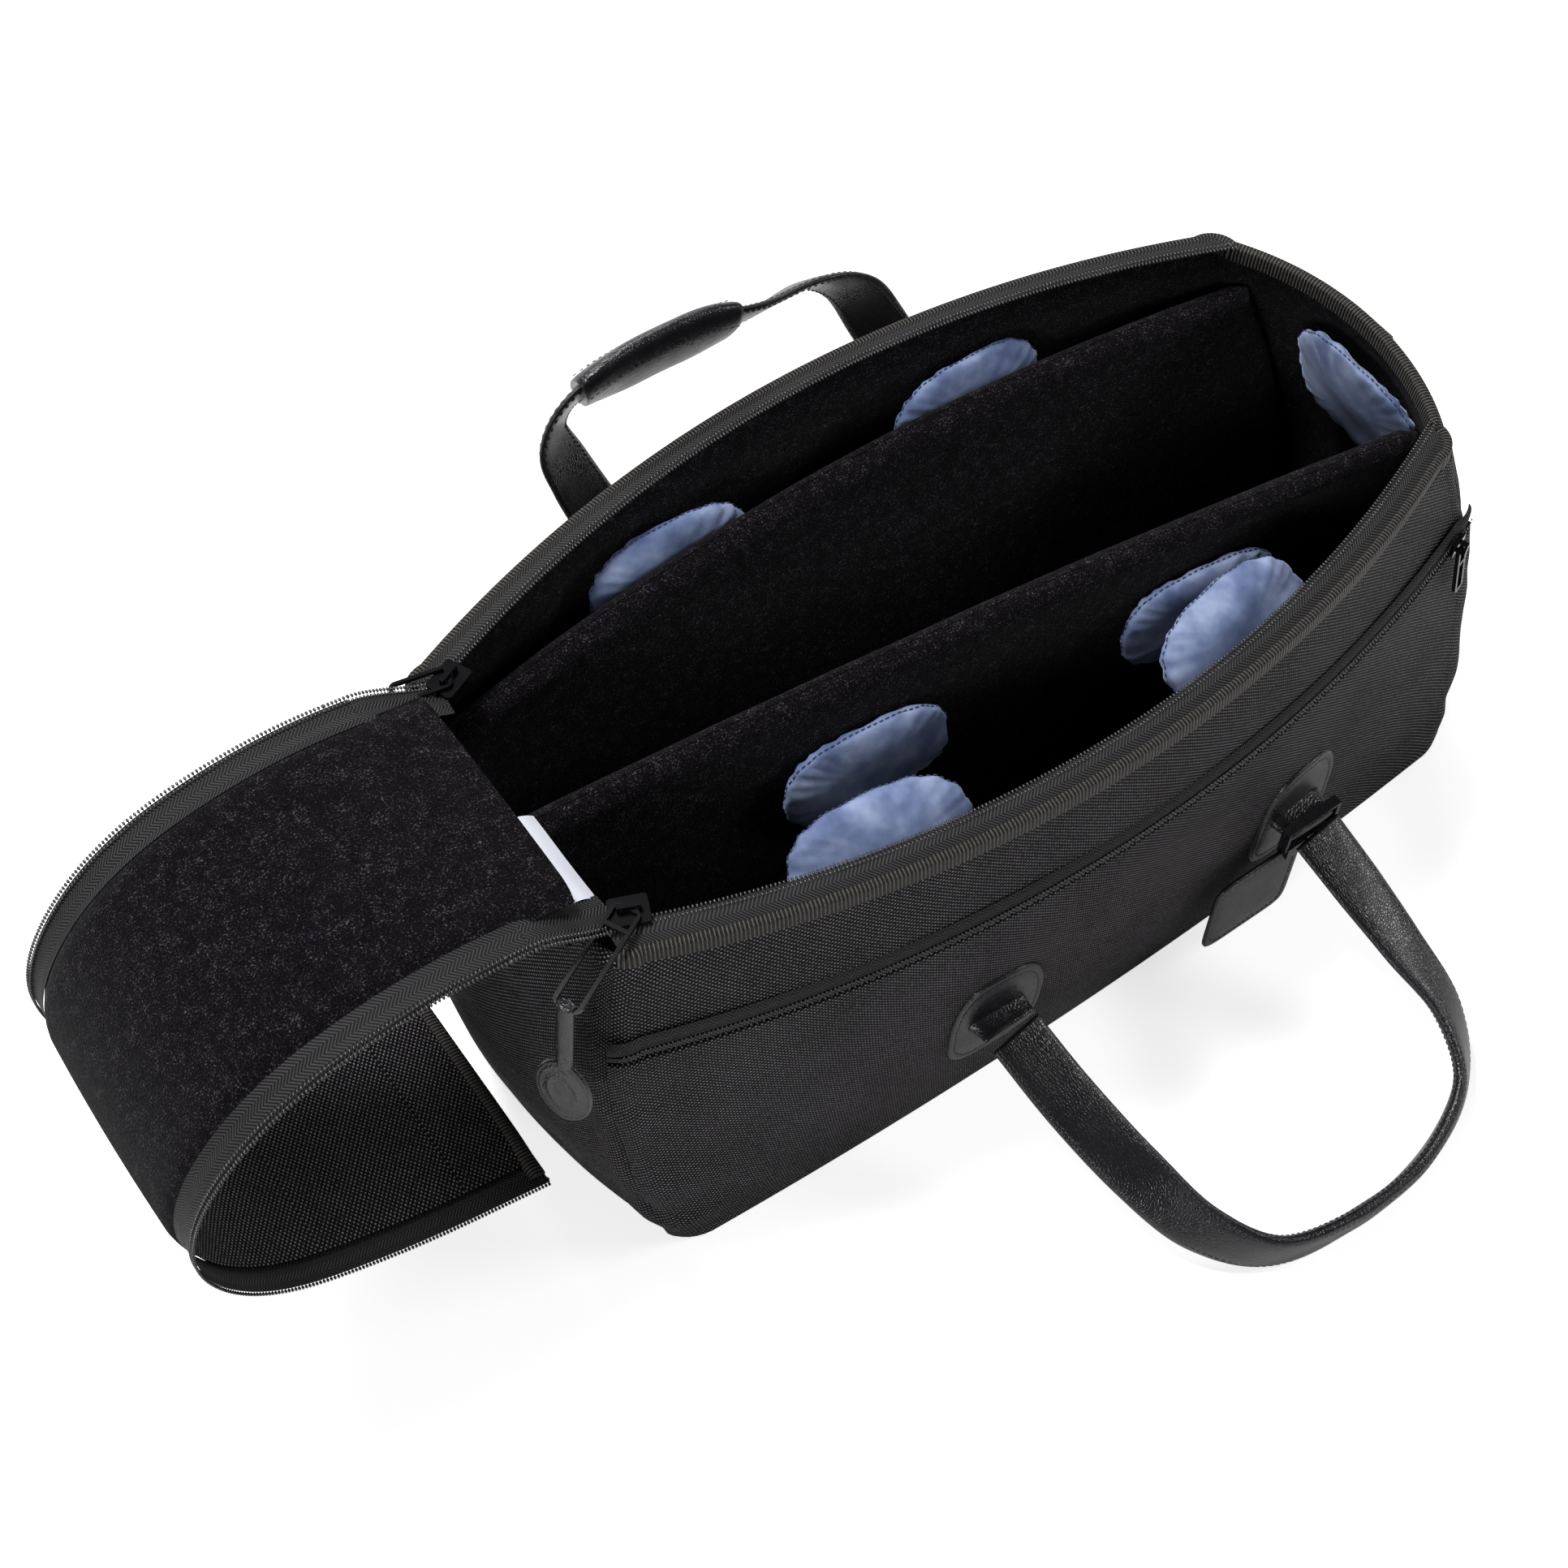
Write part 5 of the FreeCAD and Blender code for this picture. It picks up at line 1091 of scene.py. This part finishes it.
def buildPads():
    # A node of two pads is split at the widest gap along the bag.
    seed = 3
    for node, name in (("rear_divider_pads", "rearPad"), ("front_divider_pads", "frontPad"),
                       ("front_wall_pads", "wallPad")):
        points = nodePoints(node)
        order = np.sort(points[:, 0])
        gap = np.argmax(np.diff(order))
        left = points[:, 0] < (order[gap] + order[gap + 1]) / 2
        for letter, part in (("A", points[left]), ("B", points[~left])):
            centre, (along, up, _) = padShape(part)
            along, up = along * np.sign(along[0]), up * np.sign(up[2])
            ways = along, up, np.cross(along, up)
            size = [np.ptp((part - centre) @ way) * grow
                    for way, grow in zip(ways, padLook["grow"])]
            padPiece(name + letter, centre, ways, size, node, seed)
            seed += 1
    points = nodePoints("end_wall_pad")
    out = padShape(points)[1][2]
    out = out * np.sign(out[0])
    along = np.array([0.0, 1.0, 0.0])
    up = unit(np.cross(out, along))
    up = up * np.sign(up[2])
    centre = sum(np.array(corner) * 1000 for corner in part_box("end_wall_pad")) / 2
    size = [np.ptp((points - centre) @ way) for way in (along, up, out)]
    padPiece("endPad", centre, (along, up, out), size, "end_wall_pad", seed)


buildPads()
print("handles and pads ready")


# Luggage tag, and the fob on the front pull: sewn leather plates, domed a little, each made
# of rings that are a share of the outline wide and a share of the thickness deep

tag = {"power": 0.28, "seam": (0.88, 0.8),
       "face": ((0, 1), (0.5, 1), (0.8, 0.98), (0.86, 0.75), (0.91, 0.96), (0.97, 0.9),
                (1, 0.5))}
fob = {"way": (-10, -5, -66), "across": (0.4472, -0.8944, 0), "length": 46, "width": 30,
       "thick": 3.4, "strap": (8.6, 6.0), "seam": 0.89,
       "face": ((0, 0.86), (0.3, 0.86), (0.42, 0.88), (0.5, 1.12), (0.56, 1.12), (0.62, 0.84),
                (0.8, 1.0), (0.86, 0.96), (0.89, 0.7), (0.92, 0.9), (0.97, 0.76), (1, 0.35))}


def platePiece(name, ringAt, face, body, node):
    rows = [ringAt(radius, -depth) for radius, depth in face]
    rows += [ringAt(radius, depth) for radius, depth in face[::-1]]
    dressed(gridPiece(name, rows, leather, wrap=True), body, node)


def buildTag():
    low, high = [np.array(corner) * 1000 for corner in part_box("luggage_tag")]
    centre, half = (low + high) / 2, (high - low) / 2
    angle = np.linspace(0, tau, 96, endpoint=False)
    ox = curved(np.cos(angle), tag["power"]) * half[0]
    oz = curved(np.sin(angle), tag["power"]) * half[2]

    def ringAt(radius, depth):
        return stacked(centre[0] + ox * radius, centre[1] + half[1] * depth,
                       centre[2] + oz * radius)

    platePiece("tagLeather", ringAt, tag["face"], "tag", "luggage_tag")
    radius, depth = tag["seam"]
    stitchRow("tagLeatherStitch", looped(ringAt(radius, -depth)), (0.0, -1.0, 0.0), "tag")


def buildFob():
    # Oval with a pressed ring, sewn on both faces, on a strap that narrows into it.
    points = nodePoints("pull_fob")
    along, across = unit(np.array(fob["way"], float)), unit(np.array(fob["across"], float))
    normal = np.cross(along, across)
    far = points @ along
    oval = points[far > far.max() - fob["length"] * 0.6]
    middle = (far.max() - fob["length"] / 2) * along
    for way in (across, normal):
        middle = middle + way * ((oval @ way).max() + (oval @ way).min()) / 2
    angle = np.linspace(0, tau, 72, endpoint=False)
    ox = np.cos(angle) * fob["length"] / 2
    oy = np.sin(angle) * np.abs(np.sin(angle)) ** 0.12 * fob["width"] / 2

    def ringAt(radius, depth):
        return (middle + (ox * radius)[:, None] * along + (oy * radius)[:, None] * across
                + depth * fob["thick"] / 2 * normal)

    platePiece("fobLeather", ringAt, fob["face"], "fob", "pull_fob")
    for side, name in ((-1, "Under"), (1, "Over")):
        stitchRow("fobStitch" + name, looped(ringAt(fob["seam"], side * 0.72)), normal * side,
                  "fob")
    t = np.linspace(0, 1, 24)
    start = middle + along * (far.min() + 0.4 - far.max() + fob["length"] / 2)
    path = (start * (1 - t[:, None]) + (middle - along * fob["length"] * 0.33) * t[:, None])
    width, thick = fob["strap"]
    section = sectionRow(width + 0 * t, thick - 2.8 * t, 20, 3.4)
    dressed(sweepPiece("fobStrap", path, across, normal, section, leather), "fob")


buildTag()
buildFob()


# What is rigid keeps its solid, with a finish of its own

finishes = {"front_zip_slider": blackMetal, "rear_zip_slider": blackMetal,
            "front_zip_pull": blackMetal, "rear_zip_pull": blackMetal,
            "pocket_slider": blackMetal, "pocket_pull": blackMetal,
            "left_strap_ring": ringMetal, "right_strap_ring": ringMetal,
            "tag_loop": leather, "strap_ring_tabs": ribbed}
for node, mat in finishes.items():
    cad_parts[node].data.materials.clear()
    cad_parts[node].data.materials.append(mat)


# Studio: pale floor that reads white to the camera, soft lights, the photograph's camera

studio = {"camera": (-505.6, -541.1, 1206.8), "yaw": 0.95367, "elevation": 1.0085,
          "roll": -0.00303, "lens": 2905.06 / 1932 * 36, "floor": 6000, "drop": 0.0004,
          "lift": 0.66, "near": 0.7, "far": 1.7, "world": 0.1}
# Each light: its place, what it looks at, its size and its power
lights = {"keyLight": ((-0.5, 0.6, 2.3), (0, 0, 0.15), (0.8, 0.35), 46),
          "sideLight": ((1.9, -1.1, 1.5), (0, 0, 0.1), (0.9, 0.6), 16),
          "leftLight": ((-2.0, -1.2, 1.4), (-0.1, 0, 0.1), (0.9, 0.5), 17),
          "backLight": ((0.4, 2.2, 1.5), (0, 0, 0.2), (1.2, 0.4), 22)}


def buildFloor():
    # Plain diffuse, but lifted to white where the camera sees it straight, more so further off.
    half = studio["floor"]
    floor = newMesh("floorPlane", [(-half, -half, 0), (half, -half, 0), (half, half, 0),
                                   (-half, half, 0)], [(0, 1, 2, 3)], smooth=False)
    floor.location.z = -studio["drop"]
    mat, bsdf = shader("paleFloor", (0.94, 0.94, 0.94), 1.0, specular=0.0)
    bsdf.inputs["Emission Color"].default_value = (1, 1, 1, 1)
    far = addNode(mat, "VectorMath", {0: coordinates(mat, "Object")}, operation="LENGTH")
    lift = addNode(mat, "MapRange", {"Value": far.outputs["Value"], "From Min": studio["near"],
                                     "From Max": studio["far"], "To Min": studio["lift"],
                                     "To Max": 1.0})
    seen = addNode(mat, "LightPath").outputs["Is Camera Ray"]
    mat.node_tree.links.new(times(mat, seen, lift.outputs[0]), bsdf.inputs["Emission Strength"])
    floor.data.materials.append(mat)


def buildWorld():
    # White to the camera and through clear things, dim to everything else.
    world = bpy.data.worlds.new("studioWorld")
    scene.world = world
    world.use_nodes = True
    background = world.node_tree.nodes["Background"]
    background.inputs["Color"].default_value = (1, 1, 1, 1)
    path = addNode(world, "LightPath").outputs
    seen = addNode(world, "Math", {0: path["Is Camera Ray"], 1: path["Is Transmission Ray"]},
                   operation="MAXIMUM")
    strength = addNode(world, "MapRange", {"Value": seen.outputs[0], "To Min": studio["world"],
                                           "To Max": 1.0})
    world.node_tree.links.new(strength.outputs[0], background.inputs["Strength"])


def buildLights():
    for name, (place, target, size, power) in lights.items():
        light = bpy.data.lights.new(name, "AREA")
        light.shape = "RECTANGLE"
        light.size, light.size_y = size
        light.energy = power
        obj = bpy.data.objects.new(name, light)
        scene.collection.objects.link(obj)
        obj.location = place
        way = Vector(target) - Vector(place)
        obj.rotation_euler = way.to_track_quat("-Z", "Y").to_euler()


def buildCamera():
    # Looks along its yaw and down by its elevation, then turned by its roll.
    yaw, elevation = studio["yaw"], studio["elevation"]
    forward = Vector((math.cos(elevation) * math.cos(yaw), math.cos(elevation) * math.sin(yaw),
                      -math.sin(elevation)))
    right = Vector((math.sin(yaw), -math.cos(yaw), 0))
    up = right.cross(forward)
    turn = Matrix((right, up, -forward)).transposed() @ Matrix.Rotation(studio["roll"], 3, "Z")
    camera = bpy.data.cameras.new("photoCamera")
    camera.lens = studio["lens"]
    camera.sensor_width = 36
    camera.clip_end = 50
    obj = bpy.data.objects.new("photoCamera", camera)
    scene.collection.objects.link(obj)
    obj.matrix_world = Matrix.Translation(Vector(studio["camera"]) / 1000) @ turn.to_4x4()
    scene.camera = obj
    scene.view_settings.view_transform = "Standard"


buildFloor()
buildWorld()
buildLights()
buildCamera()
print("scene ready")
